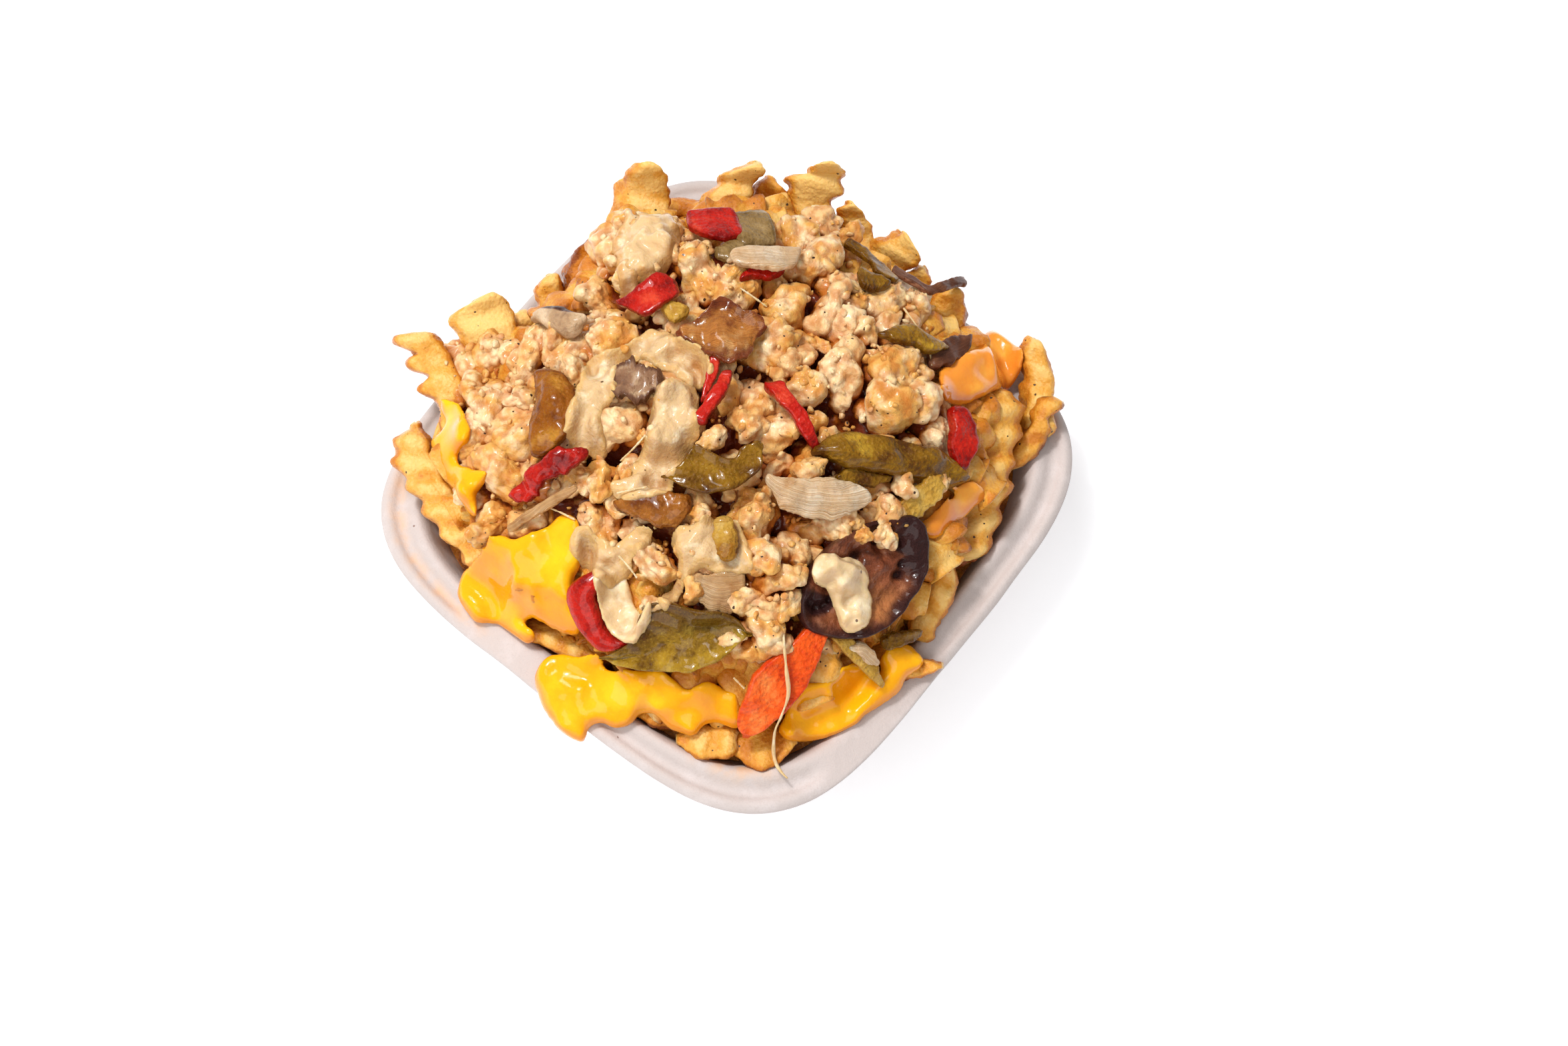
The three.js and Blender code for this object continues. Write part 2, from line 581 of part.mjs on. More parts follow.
for (const [name, bands] of Object.entries(SAUCE)) {
  const make = (grow) => joinAll(bands.map((shape) => band({ ...shape, soft: true }, grow)));
  settle(name, make, COLOUR.sauce, 0.2);
}
settleHeap(
  'fries_heap',
  cores.fries,
  FRIES.map((shape) => (grow) => fry(shape, grow)),
  cores.chicken(GAP),
  COLOUR.fry,
  0.55,
);

export default object;
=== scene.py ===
"""Chicken and pepper loaded crinkle fries in a square moulded-fibre tray: the looks.

Millimetres are used throughout, with +Z up and the origin at the centre of the tray's
foot, and turned into metres when a mesh is made. Every shape is a surface worked out on
a grid of two parameters: round and along a fry, round and down a lump of chicken, across
and along a strip of pepper. Cheese and sauce are draped over a height map of what lies
under them.
"""

import logging
import math
from dataclasses import dataclass, field
from enum import Enum
from typing import Sequence

import bpy
import numpy as np
from bpy.types import Material, Mesh, Node, NodeSocket, NodeTree, Object
from mathutils import Matrix, Vector


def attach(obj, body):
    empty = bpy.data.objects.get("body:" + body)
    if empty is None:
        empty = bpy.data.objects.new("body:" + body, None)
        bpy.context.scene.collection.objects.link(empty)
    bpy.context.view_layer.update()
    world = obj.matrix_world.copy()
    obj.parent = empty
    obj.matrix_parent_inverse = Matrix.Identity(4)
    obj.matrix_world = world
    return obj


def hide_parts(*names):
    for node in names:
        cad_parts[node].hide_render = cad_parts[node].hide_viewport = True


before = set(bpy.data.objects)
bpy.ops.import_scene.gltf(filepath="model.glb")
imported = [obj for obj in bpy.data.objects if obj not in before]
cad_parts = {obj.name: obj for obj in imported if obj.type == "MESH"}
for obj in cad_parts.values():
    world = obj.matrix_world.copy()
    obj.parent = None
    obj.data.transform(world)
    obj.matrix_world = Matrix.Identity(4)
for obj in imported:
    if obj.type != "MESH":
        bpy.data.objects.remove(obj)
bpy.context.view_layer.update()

Array = np.ndarray
Colour = tuple[float, float, float]
Point = tuple[float, float, float]
Line = tuple[tuple[float, float], ...]

MM = 0.001
log = logging.getLogger("loaded_fries")


class Slot(Enum):
    """Material slots of the record."""

    TRAY = "tray_fibre"
    FRIES = "fries"
    CHICKEN = "chicken"
    RED = "red_pepper"
    GREEN = "green_pepper"
    ONION = "onion"
    BROWNED = "browned_onion"
    MUSHROOM = "mushroom"
    MELTED = "melted_cheese"
    SAUCE = "cheese_sauce"


@dataclass(frozen=True)
class Pile:
    """The dome that the food is heaped to, which leans a little to the far left."""

    low: float = 41.0
    rise: float = 38.0
    power: float = 2.4
    roundness: float = 2.6
    lean: float = 0.055
    centre_x: float = -4.0
    centre_y: float = 4.0
    half: float = 82.5

    def share(self, x: Array, y: Array) -> Array:
        """How far out a plan point lies, as a share of the tray's half width.

        Args:
            x: Plan places along x in mm.
            y: Plan places along y in mm.

        Returns:
            The share.
        """
        dx = np.abs(x - self.centre_x) ** self.roundness
        dy = np.abs(y - self.centre_y) ** self.roundness
        return (dx + dy) ** (1.0 / self.roundness) / self.half

    def height(self, x: Array, y: Array) -> Array:
        """Height of the dome: a flat-topped power curve of the share, plus the lean."""
        share = np.minimum(self.share(x, y), 1.1)
        return self.low + self.lean * (y - x) + self.rise * (1.0 - share**self.power)

    def normal(self, x: Array, y: Array) -> Array:
        """Unit normal of the dome, from its slopes over a step of 1.5 mm.

        Args:
            x: Plan places along x in mm.
            y: Plan places along y in mm.

        Returns:
            Unit vectors.
        """
        step = 1.5
        dx = (self.height(x + step, y) - self.height(x - step, y)) / (2 * step)
        dy = (self.height(x, y + step) - self.height(x, y - step)) / (2 * step)
        return unit(np.stack([-dx, -dy, np.ones_like(dx)], axis=-1))

    def lift(self, rows: Sequence[Point]) -> Array:
        """Points given by plan place and height above the dome."""
        p = np.asarray(rows, dtype=float)
        return np.column_stack([p[:, 0], p[:, 1], self.height(p[:, 0], p[:, 1]) + p[:, 2]])


@dataclass(frozen=True)
class Lens:
    """The photo's camera, which places the picture and maps picture points onto the heap."""

    azimuth: float = 38.21
    elevation: float = 67.13
    distance: float = 661.4
    shift_right: float = 15.76
    shift_up: float = -13.67
    aim_height: float = 36.0
    focal: float = 3500.0
    wide: float = 2351.0
    high: float = 1568.0
    sensor: float = 36.0

    def axes(self) -> tuple[Array, Array, Array]:
        """The camera's right, up and back directions.

        Returns:
            Three unit vectors.
        """
        a, e = math.radians(self.azimuth), math.radians(self.elevation)
        back = np.array([math.sin(a) * math.cos(e), -math.cos(a) * math.cos(e), math.sin(e)])
        right = np.array([math.cos(a), math.sin(a), 0.0])
        return right, np.cross(back, right), back

    def eye(self) -> Array:
        """The camera's place in mm.

        Returns:
            One point.
        """
        right, up, back = self.axes()
        aim = right * self.shift_right + up * self.shift_up + np.array([0, 0, self.aim_height])
        return aim + back * self.distance

    def rays(self, pixels: Line) -> Array:
        """Directions from the camera through picture points, in the photo's own pixels.

        Args:
            pixels: Picture points.

        Returns:
            One direction for each.
        """
        p = np.asarray(pixels, dtype=float)
        right, up, back = self.axes()
        across = (p[:, 0] - self.wide / 2) / self.focal
        along = (self.high / 2 - p[:, 1]) / self.focal
        return across[:, None] * right + along[:, None] * up - back

    def level(self, pixels: Line, height: Array | float) -> Array:
        """Points at given heights above the table that show at given picture points."""
        ray, eye = self.rays(pixels), self.eye()
        return eye + ray * ((height - eye[2]) / ray[:, 2])[:, None]

    def onto(self, pixels: Line, lift: Array | float) -> Array:
        """Points a lift above the dome that show at given picture points, found by repeated aim.

        Args:
            pixels: Picture points.
            lift: How far above the dome, in mm.

        Returns:
            Points in mm.
        """
        points = self.level(pixels, 60.0)
        for _ in range(16):
            points = self.level(pixels, PILE.height(points[:, 0], points[:, 1]) + lift)
        return points

    def plane(self, pixels: Line, point: Array, normal: Array) -> Array:
        """Points of a plane that show at given picture points."""
        ray, eye = self.rays(pixels), self.eye()
        return eye + ray * (((point - eye) @ normal) / (ray @ normal))[:, None]

    def show(self, points: Array) -> Array:
        """Picture points that points in mm show at.

        Args:
            points: Points in mm.

        Returns:
            Picture points.
        """
        right, up, back = self.axes()
        gap = points - self.eye()
        far = -(gap @ back)
        across = self.wide / 2 + self.focal * (gap @ right) / far
        return np.stack([across, self.high / 2 - self.focal * (gap @ up) / far], axis=-1)


PILE = Pile()
LENS = Lens()


def within(outline: Array, spots: Array) -> Array:
    """Which flat points lie inside an outline, by how often a line to the left crosses it.

    Args:
        outline: Its corners in turn.
        spots: Flat points.

    Returns:
        True for each point inside.
    """
    a, b = outline, np.roll(outline, -1, axis=0)
    x, y = spots[..., 0, None], spots[..., 1, None]
    level = (a[:, 1] > y) != (b[:, 1] > y)
    rise = np.where(b[:, 1] == a[:, 1], 1e-9, b[:, 1] - a[:, 1])
    cross = a[:, 0] + (y - a[:, 1]) / rise * (b[:, 0] - a[:, 0])
    return (level & (x < cross)).sum(axis=-1) % 2 == 1


@dataclass(frozen=True)
class Region:
    """The part of the heap that chicken covers, by its outline in the photo."""

    outline: Line = (
        (665, 530), (700, 505), (740, 505), (790, 500), (850, 470), (885, 435), (900, 365), (945, 330),
        (1010, 335), (1050, 352), (1110, 362), (1160, 328), (1250, 335), (1290, 372), (1350, 420),
        (1395, 450), (1400, 520), (1415, 600), (1428, 690), (1395, 760), (1385, 830), (1330, 900),
        (1250, 960), (1160, 985), (1100, 960), (960, 930), (880, 850), (860, 775), (800, 790), (720, 780),
        (680, 700), (670, 620),
    )

    def covers(self, points: Array) -> Array:
        """Which points show inside the outline."""
        return within(np.asarray(self.outline, dtype=float), LENS.show(points))

    def limit(self, angle: Array) -> Array:
        """Share of the dome at which the outline is met, for ways seen from the dome's middle.

        Args:
            angle: Ways out, in radians.

        Returns:
            One share for each way.
        """
        share = np.linspace(0.3, 1.0, 141)
        s, a = np.meshgrid(share, angle, indexing="ij")
        reach = s * PILE.half / bow(a, PILE.roundness)
        x, y = PILE.centre_x + reach * np.cos(a), PILE.centre_y + reach * np.sin(a)
        inside = self.covers(np.stack([x, y, PILE.height(x, y)], axis=-1))
        far = np.where(inside, s, 0.3).max(axis=0)
        wide = np.concatenate([far[-6:], far, far[:6]])
        return np.convolve(wide, np.ones(13) / 13, mode="valid")


REGION = Region()


def unit(v: Array) -> Array:
    """Vectors scaled to length one."""
    return v / np.maximum(np.linalg.norm(v, axis=-1, keepdims=True), 1e-12)


def around(count: int) -> Array:
    """Angles of a count of points round a circle."""
    return 2 * math.pi * np.arange(count) / count


def bow(angle: Array, power: float) -> Array:
    """What a bowed square's half width is divided by for its reach: (|cos|^p + |sin|^p)^(1/p)."""
    return (np.abs(np.cos(angle)) ** power + np.abs(np.sin(angle)) ** power) ** (1 / power)


def rounded(count: int, power: float) -> tuple[Array, Array]:
    """Section of a bowed square of half width 1, as its points' places across and upward.

    Args:
        count: How many points.
        power: How square it is, from 2 for a circle.

    Returns:
        Places across and upward.
    """
    angle = 2 * math.pi * (np.arange(count) + 0.5) / count
    radius = 1.0 / bow(angle, power)
    return radius * np.cos(angle), radius * np.sin(angle)


def length_of(path: Array) -> Array:
    """Length of a path from its start to each of its points."""
    return np.concatenate([[0.0], np.cumsum(np.linalg.norm(np.diff(path, axis=0), axis=1))])


def spline(a: Array, b: Array, c: Array, d: Array, f: Array) -> Array:
    """Catmull-Rom curve from b to c, with a before them and d after, at a share of the way."""
    return 0.5 * (2 * b + (c - a) * f + (2 * a - 5 * b + 4 * c - d) * f**2 + (3 * b - a - 3 * c + d) * f**3)


def smoothstep(x: Array) -> Array:
    """Cubic ease from 0 to 1, flat at both ends."""
    t = np.clip(x, 0.0, 1.0)
    return t * t * (3.0 - 2.0 * t)


def hashed(ix: Array, iy: Array, iz: Array, seed: int) -> Array:
    """A fixed random number from 0 to 1 for every whole-number lattice point.

    Args:
        ix, iy, iz: Whole numbers.
        seed: Which numbers.

    Returns:
        One number for each lattice point.
    """
    h = (ix * 73856093) ^ (iy * 19349663) ^ (iz * 83492791) ^ (seed * 2654435761)
    h = (h & 0xFFFFFFFF).astype(np.uint64)
    h = ((h ^ (h >> 15)) * 2246822519) & 0xFFFFFFFF
    h = ((h ^ (h >> 13)) * 3266489917) & 0xFFFFFFFF
    return ((h ^ (h >> 16)) & 0xFFFFFF).astype(float) / 0xFFFFFF


def noise(points: Array, size: float, seed: int) -> Array:
    """Smooth value noise from -1 to 1: lattice values a size apart, eased between.

    Args:
        points: Places in mm, with x, y and z last.
        size: Lattice pitch in mm.
        seed: Which noise.

    Returns:
        One value for each place.
    """
    q = points / size
    cell = np.floor(q).astype(np.int64)
    t = q - cell
    t = t * t * t * (t * (t * 6 - 15) + 10)
    total = np.zeros(points.shape[:-1])
    for corner in range(8):
        step = [(corner >> k) & 1 for k in range(3)]
        weight = np.ones_like(total)
        for k in range(3):
            weight = weight * (t[..., k] if step[k] else 1 - t[..., k])
        total += weight * hashed(*(cell[..., k] + step[k] for k in range(3)), seed)
    return 2 * total - 1


def fractal(points: Array, size: float, octaves: int, seed: int, gain: float = 0.5) -> Array:
    """Sum of noises, each half the size of the one before and gain times as strong.

    Args:
        points: Places in mm, with x, y and z last.
        size: Lattice pitch of the first noise in mm.
        octaves: How many noises.
        seed: Which noise.
        gain: Strength of each against the one before.

    Returns:
        One value for each place.
    """
    total = np.zeros(points.shape[:-1])
    for k in range(octaves):
        total += gain**k * noise(points, size / 2**k, seed + 17 * k)
    return total


def nubs(points: Array, size: float, seed: int) -> Array:
    """Round nubs with creases between: 1 less the squared distance to the nearest seed.

    Args:
        points: Places in mm, with x, y and z last.
        size: Pitch of the nubs in mm.
        seed: Which nubs.

    Returns:
        About 1 at the middle of a nub and 0 or less in a crease.
    """
    q = points / size
    cell = np.floor(q).astype(np.int64)
    nearest = np.full(points.shape[:-1], 9.0)
    for k in range(27):
        step = np.array([k % 3 - 1, (k // 3) % 3 - 1, k // 9 - 1])
        near = [cell[..., a] + step[a] for a in range(3)]
        gap = sum((near[a] + hashed(*near, seed + a) - q[..., a]) ** 2 for a in range(3))
        nearest = np.minimum(nearest, gap)
    return 1.0 - nearest


def smooth_path(points: Array, count: int, even: bool = True) -> Array:
    """Catmull-Rom curve through the points, read off at equal steps of its length.

    Args:
        points: Points in mm.
        count: How many to read off.
        even: False reads it off at equal shares between one given point and the next.

    Returns:
        Points in mm.
    """
    p = np.vstack([2 * points[0] - points[1], points, 2 * points[-1] - points[-2]])
    last = len(points) - 1
    t = np.linspace(0, last, 8 * count if even else count)
    i = np.minimum(t.astype(int), last - 1)
    f = (t - i)[:, None]
    curve = spline(p[i], p[i + 1], p[i + 2], p[i + 3], f)
    if not even:
        return curve
    run = length_of(curve)
    at = np.linspace(0.0, run[-1], count)
    return np.column_stack([np.interp(at, run, curve[:, k]) for k in range(3)])


def eased(rows: Array, reach: int) -> Array:
    """Rows of points averaged over that many rows on either side."""
    padded = np.pad(rows, ((reach, reach), (0, 0)), mode="edge")
    return sum(padded[k : k + len(rows)] for k in range(2 * reach + 1)) / (2 * reach + 1)


def spread(values: float | Sequence[float], count: int) -> Array:
    """One width or a row of widths, spread smoothly over a count of stations.

    Args:
        values: The width or widths.
        count: How many stations.

    Returns:
        One width for each station.
    """
    row = np.atleast_1d(np.asarray(values, dtype=float))
    if len(row) == 1:
        return np.full(count, row[0])
    at = np.linspace(0, len(row) - 1, count)
    low = np.minimum(at.astype(int), len(row) - 2)
    ease = smoothstep(at - low)
    return row[low] * (1 - ease) + row[low + 1] * ease


def put(name: str, data: object) -> Object:
    """Puts a new object with that mesh, lamp or camera into the scene.

    Args:
        name: Its name.
        data: What it holds.

    Returns:
        The object.
    """
    made = bpy.data.objects.new(name, data)
    bpy.context.scene.collection.objects.link(made)
    return made


def carry(mesh: Mesh, values: dict[str, Array]) -> None:
    """Lets a mesh carry named values at its points."""
    for key, value in values.items():
        mesh.attributes.new(key, "FLOAT", "POINT").data.foreach_set("value", value.astype(np.float32))


@dataclass
class Skin:
    """Closed forms gathered into one mesh, with named values at their points."""

    name: str
    points: list[Array] = field(default_factory=list)
    quads: list[Array] = field(default_factory=list)
    fans: list[Array] = field(default_factory=list)
    values: dict[str, list[Array]] = field(default_factory=dict)
    count: int = 0

    def add(self, grids: Array, **values: Array) -> None:
        """Adds closed forms whose grids go round along the last axis and end in poles.

        Args:
            grids: Points, as form, row, column and x, y, z.
            values: Named numbers for the points, each as form, row and column.
        """
        forms, rows, cols = grids.shape[:3]
        each = rows * cols + 2
        poles = grids[:, [0, -1]].mean(axis=2)
        flat = np.concatenate([grids.reshape(forms, rows * cols, 3), poles], axis=1)
        base = self.count + each * np.arange(forms)[:, None, None]
        i, j = np.meshgrid(np.arange(rows - 1), np.arange(cols), indexing="ij")
        k = (j + 1) % cols
        quad = np.stack([i * cols + j, i * cols + k, (i + 1) * cols + k, (i + 1) * cols + j], axis=-1)
        self.quads.append((base + quad.reshape(1, -1, 4)).reshape(-1, 4))
        ring = np.arange(cols)
        after = (ring + 1) % cols
        end = (rows - 1) * cols
        first = np.stack([np.full(cols, rows * cols), after, ring], axis=-1)
        last = np.stack([np.full(cols, rows * cols + 1), end + ring, end + after], axis=-1)
        self.fans.append((base + np.concatenate([first, last])[None]).reshape(-1, 3))
        self.points.append(flat.reshape(-1, 3))
        for key, value in values.items():
            ends = value[:, [0, -1]].mean(axis=2)
            row = np.concatenate([value.reshape(forms, rows * cols), ends], axis=1)
            self.values.setdefault(key, []).append(row.reshape(-1))
        self.count += forms * each

    def build(self, material: Material, slot: Slot, nodes: Sequence[str] = ()) -> Object:
        """Makes the mesh, dresses it and lets it ride on the tray.

        Args:
            material: The finish.
            slot: The record's slot that the finish belongs to.
            nodes: CAD nodes that the piece stands for.

        Returns:
            The new object.
        """
        points = np.concatenate(self.points) * MM
        quads = np.concatenate(self.quads)
        fans = np.concatenate(self.fans)
        mesh = bpy.data.meshes.new(self.name)
        mesh.vertices.add(len(points))
        mesh.vertices.foreach_set("co", points.ravel())
        mesh.loops.add(quads.size + fans.size)
        mesh.loops.foreach_set("vertex_index", np.concatenate([quads.ravel(), fans.ravel()]).astype(np.int32))
        starts = np.concatenate([4 * np.arange(len(quads)), quads.size + 3 * np.arange(len(fans))])
        mesh.polygons.add(len(starts))
        mesh.polygons.foreach_set("loop_start", starts.astype(np.int32))
        mesh.update(calc_edges=True)
        mesh.validate()
        mesh.shade_smooth()
        carry(mesh, {key: np.concatenate(rows) for key, rows in self.values.items()})
        return dress(put(self.name, mesh), material, slot, nodes)


def dress(piece: Object, material: Material, slot: Slot, nodes: Sequence[str]) -> Object:
    """Gives a piece its finish and body, hides the CAD nodes that it stands for, and reports it with its
    slot.

    Args:
        piece: The object.
        material: Its finish.
        slot: The record's slot that the finish belongs to.
        nodes: CAD nodes that it stands for.

    Returns:
        The same object.
    """
    piece.data.materials.clear()
    piece.data.materials.append(material)
    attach(piece, "root")
    if nodes:
        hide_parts(*nodes)
    triangles = sum(len(p.vertices) - 2 for p in piece.data.polygons)
    log.info("%s: %d triangles, %s", piece.name, triangles, slot.value)
    return piece


def form(name: str, grids: Array, values: dict[str, Array],
         dressing: tuple[Material, Slot, Sequence[str]]) -> None:
    """Builds one piece from closed forms.

    Args:
        name: Its name.
        grids: Its forms, as form, row, column and x, y, z.
        values: Named numbers for their points.
        dressing: Its finish, its slot and the nodes that it stands for.
    """
    skin = Skin(name)
    skin.add(grids, **values)
    skin.build(*dressing)


@dataclass
class Relief:
    """Height map of the heap, which cheese, sauce and shade are worked out from."""

    half: float = 98.0
    cell: float = 0.8

    def __post_init__(self) -> None:
        """Starts as the bare dome, sunk a little."""
        self.size = int(2 * self.half / self.cell) + 1
        axis = np.linspace(-self.half, self.half, self.size)
        x, y = np.meshgrid(axis, axis, indexing="ij")
        inside = PILE.share(x, y) < 0.9
        self.top = np.where(inside, PILE.height(x, y) - 5.0, 30.0)
        self.lid = np.full_like(self.top, 200.0)

    def cells(self, points: Array, margin: int = 0) -> tuple[Array, Array]:
        """Numbers along x and y of the cells that points lie in, a margin or more from the map's edge.

        Args:
            points: Points in mm.
            margin: How many cells to stay away.

        Returns:
            The numbers.
        """
        ij = np.round((points[..., :2] + self.half) / self.cell).astype(int)
        ij = np.clip(ij, margin, self.size - 1 - margin)
        return ij[..., 0], ij[..., 1]

    def press(self, points: Array) -> None:
        """Raises the map to points that lie higher."""
        np.maximum.at(self.top, self.cells(points), points[..., 2])

    def hang(self, points: Array) -> None:
        """Lowers the lid to the underside of what will lie on top, and one cell round it.

        Args:
            points: Points in mm.
        """
        i, j = self.cells(points, 1)
        for k in range(9):
            np.minimum.at(self.lid, (i + k % 3 - 1, j + k // 3 - 1), points[..., 2])

    def duck(self, grids: Array) -> Array:
        """Grids with their points pushed down to lie under the lid.

        Args:
            grids: Grids in mm.

        Returns:
            The grids.
        """
        lid = self.lid[self.cells(grids)] + 0.4
        z = np.where((grids[..., 2] > lid) & (grids[..., 2] < lid + 14.0), lid, grids[..., 2])
        return np.concatenate([grids[..., :2], z[..., None]], axis=-1)

    def aim(self, pixels: Line, height: Array, lift: float) -> Array:
        """Points a lift above a map that show at given picture points, found by repeated aim.

        Args:
            pixels: Picture points.
            height: The map to lie on.
            lift: How far above it, in mm.

        Returns:
            Points in mm.
        """
        level = np.full(len(pixels), 50.0)
        for _ in range(30):
            points = LENS.level(pixels, level)
            level = 0.5 * level + 0.5 * (self.read(height, points[:, 0], points[:, 1]) + lift)
        return points

    def soft(self, reach: float) -> Array:
        """The map blurred by a bell curve of that reach in mm.

        Args:
            reach: Reach of the bell curve in mm.

        Returns:
            The blurred map.
        """
        n = int(3 * reach / self.cell)
        bell = np.exp(-0.5 * (np.arange(-n, n + 1) * self.cell / reach) ** 2)
        bell /= bell.sum()
        padded = np.pad(self.top, n, mode="edge")
        wide = sum(share * padded[k : k + self.size] for k, share in enumerate(bell))
        return sum(share * wide[:, k : k + self.size] for k, share in enumerate(bell))

    def read(self, height: Array, x: Array, y: Array) -> Array:
        """Heights at plan places, read between the cells of a map.

        Args:
            height: The map.
            x: Plan places along x in mm.
            y: Plan places along y in mm.

        Returns:
            One height for each place.
        """
        u = np.clip((x + self.half) / self.cell, 0, self.size - 1.001)
        v = np.clip((y + self.half) / self.cell, 0, self.size - 1.001)
        i, j = u.astype(int), v.astype(int)
        f, g = u - i, v - j
        low = height[i, j] * (1 - f) + height[i + 1, j] * f
        high = height[i, j + 1] * (1 - f) + height[i + 1, j + 1] * f
        return low * (1 - g) + high * g


class Net:
    """A short hand for laying out the nodes of a material or a group."""

    def __init__(self, tree: NodeTree) -> None:
        """Keeps the tree that nodes go into."""
        self.tree = tree

    def feed(self, socket: NodeSocket, value: object) -> None:
        """Wires another socket into one, or sets it to a number or a colour.

        Args:
            socket: The input.
            value: A socket, a number or a colour.
        """
        if isinstance(value, NodeSocket):
            self.tree.links.new(value, socket)
        elif socket.type == "RGBA" and len(value) == 3:
            socket.default_value = (*value, 1.0)
        else:
            socket.default_value = value

    def node(self, kind: str, inputs: dict | None = None, **settings: object) -> Node:
        """Adds a node, sets it, and fills or wires its inputs.

        Args:
            kind: Blender's type name.
            inputs: Values or sockets by input name or number.
            settings: Properties of the node.

        Returns:
            The node.
        """
        made = self.tree.nodes.new(kind)
        for key, value in settings.items():
            setattr(made, key, value)
        for key, value in (inputs or {}).items():
            self.feed(made.inputs[key], value)
        return made

    def math(self, kind: str, a: object, b: object) -> NodeSocket:
        """One sum of two numbers or sockets."""
        return self.node("ShaderNodeMath", {0: a, 1: b}, operation=kind).outputs[0]

    def plus(self, a: object, b: object) -> NodeSocket:
        """Two numbers or sockets added."""
        return self.math("ADD", a, b)

    def times(self, a: object, b: object) -> NodeSocket:
        """Two numbers or sockets multiplied."""
        return self.math("MULTIPLY", a, b)

    def ramp(self, value: object, low: float, high: float, ease: bool = True) -> NodeSocket:
        """Mask that goes from 0 at low to 1 at high.

        Args:
            value: What to read.
            low: Where it is 0.
            high: Where it is 1.
            ease: False makes it straight.

        Returns:
            The mask.
        """
        kind = "SMOOTHSTEP" if ease else "LINEAR"
        made = self.node("ShaderNodeMapRange", {0: value, 1: low, 2: high}, interpolation_type=kind)
        return made.outputs[0]

    def mix(self, share: object, a: object, b: object) -> NodeSocket:
        """Colour between two colours."""
        return self.node("ShaderNodeMix", {0: share, 6: a, 7: b}, data_type="RGBA").outputs[2]

    def use(self, tree: NodeTree, **inputs: object) -> Node:
        """Places a shared group with its own values."""
        return self.node("ShaderNodeGroup", inputs, node_tree=tree)


def group(name: str, inputs: dict[str, object], outputs: dict[str, str]) -> tuple[Net, Node, Node]:
    """Starts a node group with named sockets.

    Args:
        name: Name of the group.
        inputs: Start value of each input: a number, a colour of four numbers, or None for a vector.
        outputs: Socket type of each output.

    Returns:
        Its Net, its input node and its output node.
    """
    tree = bpy.data.node_groups.new(name, "ShaderNodeTree")
    for key, value in inputs.items():
        kind = "Vector" if value is None else "Color" if isinstance(value, tuple) else "Float"
        socket = tree.interface.new_socket(key, in_out="INPUT", socket_type="NodeSocket" + kind)
        if value is not None:
            socket.default_value = value
    for key, kind in outputs.items():
        tree.interface.new_socket(key, in_out="OUTPUT", socket_type="NodeSocket" + kind)
    net = Net(tree)
    return net, net.node("NodeGroupInput"), net.node("NodeGroupOutput")


def flecks_group() -> NodeTree:
    """Pepper flecks: specks in a share of the cells of a cell pattern.

    Returns:
        The group.
    """
    inputs = {"Place": None, "Pitch": 3.0, "Size": 0.09, "Share": 0.35}
    net, start, end = group("PepperFlecks", inputs, {"Mask": "Float"})
    place, pitch, size, share = (start.outputs[key] for key in inputs)
    scale = net.math("DIVIDE", 1.0 / MM, pitch)
    bent = net.node("ShaderNodeTexNoise", {"Vector": place, "Scale": 900.0, "Detail": 1.0})
    reach = (0.0006, 0.0006, 0.0006)
    shift = net.node("ShaderNodeVectorMath", {0: bent.outputs[1], 1: reach}, operation="MULTIPLY")
    moved = net.node("ShaderNodeVectorMath", {0: place, 1: shift.outputs[0]}, operation="ADD")
    cells = net.node("ShaderNodeTexVoronoi", {"Vector": moved.outputs[0], "Scale": scale})
    pick = net.node("ShaderNodeSeparateColor", {0: cells.outputs["Color"]})
    speck = net.math("LESS_THAN", cells.outputs["Distance"], net.times(size, net.plus(0.5, pick.outputs[1])))
    net.feed(end.inputs["Mask"], net.times(speck, net.math("LESS_THAN", pick.outputs[0], share)))
    return net.tree


def crumb_group() -> NodeTree:
    """Height of a crumbly surface: soft nubs with creases, and finer grain on them.

    Returns:
        The group.
    """
    inputs = {"Place": None, "Pitch": 1.6, "Grain": 0.35}
    net, start, end = group("CrumbGrain", inputs, {"Height": "Float"})
    place, pitch, grain = (start.outputs[key] for key in inputs)
    scale = net.math("DIVIDE", 1.0 / MM, pitch)
    cells = net.node("ShaderNodeTexVoronoi", {"Vector": place, "Scale": scale}, feature="SMOOTH_F1")
    look = {"Vector": place, "Scale": net.times(scale, 1.7), "Detail": 4.0, "Roughness": 0.65}
    fine = net.times(net.node("ShaderNodeTexNoise", look).outputs[0], grain)
    net.feed(end.inputs["Height"], net.plus(net.math("SUBTRACT", 1.0, cells.outputs["Distance"]), fine))
    return net.tree


def mottle_group() -> NodeTree:
    """Three colours mixed by soft noise.

    Returns:
        The group.
    """
    black = (0.0, 0.0, 0.0, 1.0)
    inputs = {"Place": None, "Pitch": 6.0, "Light": black, "Main": black, "Deep": black, "Bias": 0.0}
    net, start, end = group("Mottle", inputs, {"Color": "Color"})
    place, pitch, light, main_, deep, bias = (start.outputs[key] for key in inputs)
    look = {"Vector": place, "Scale": net.math("DIVIDE", 1.0 / MM, pitch), "Detail": 4.0, "Roughness": 0.6}
    level = net.plus(net.node("ShaderNodeTexNoise", look).outputs[0], bias)
    lower = net.mix(net.ramp(level, 0.3, 0.52), light, main_)
    net.feed(end.inputs["Color"], net.mix(net.ramp(level, 0.5, 0.75), lower, deep))
    return net.tree


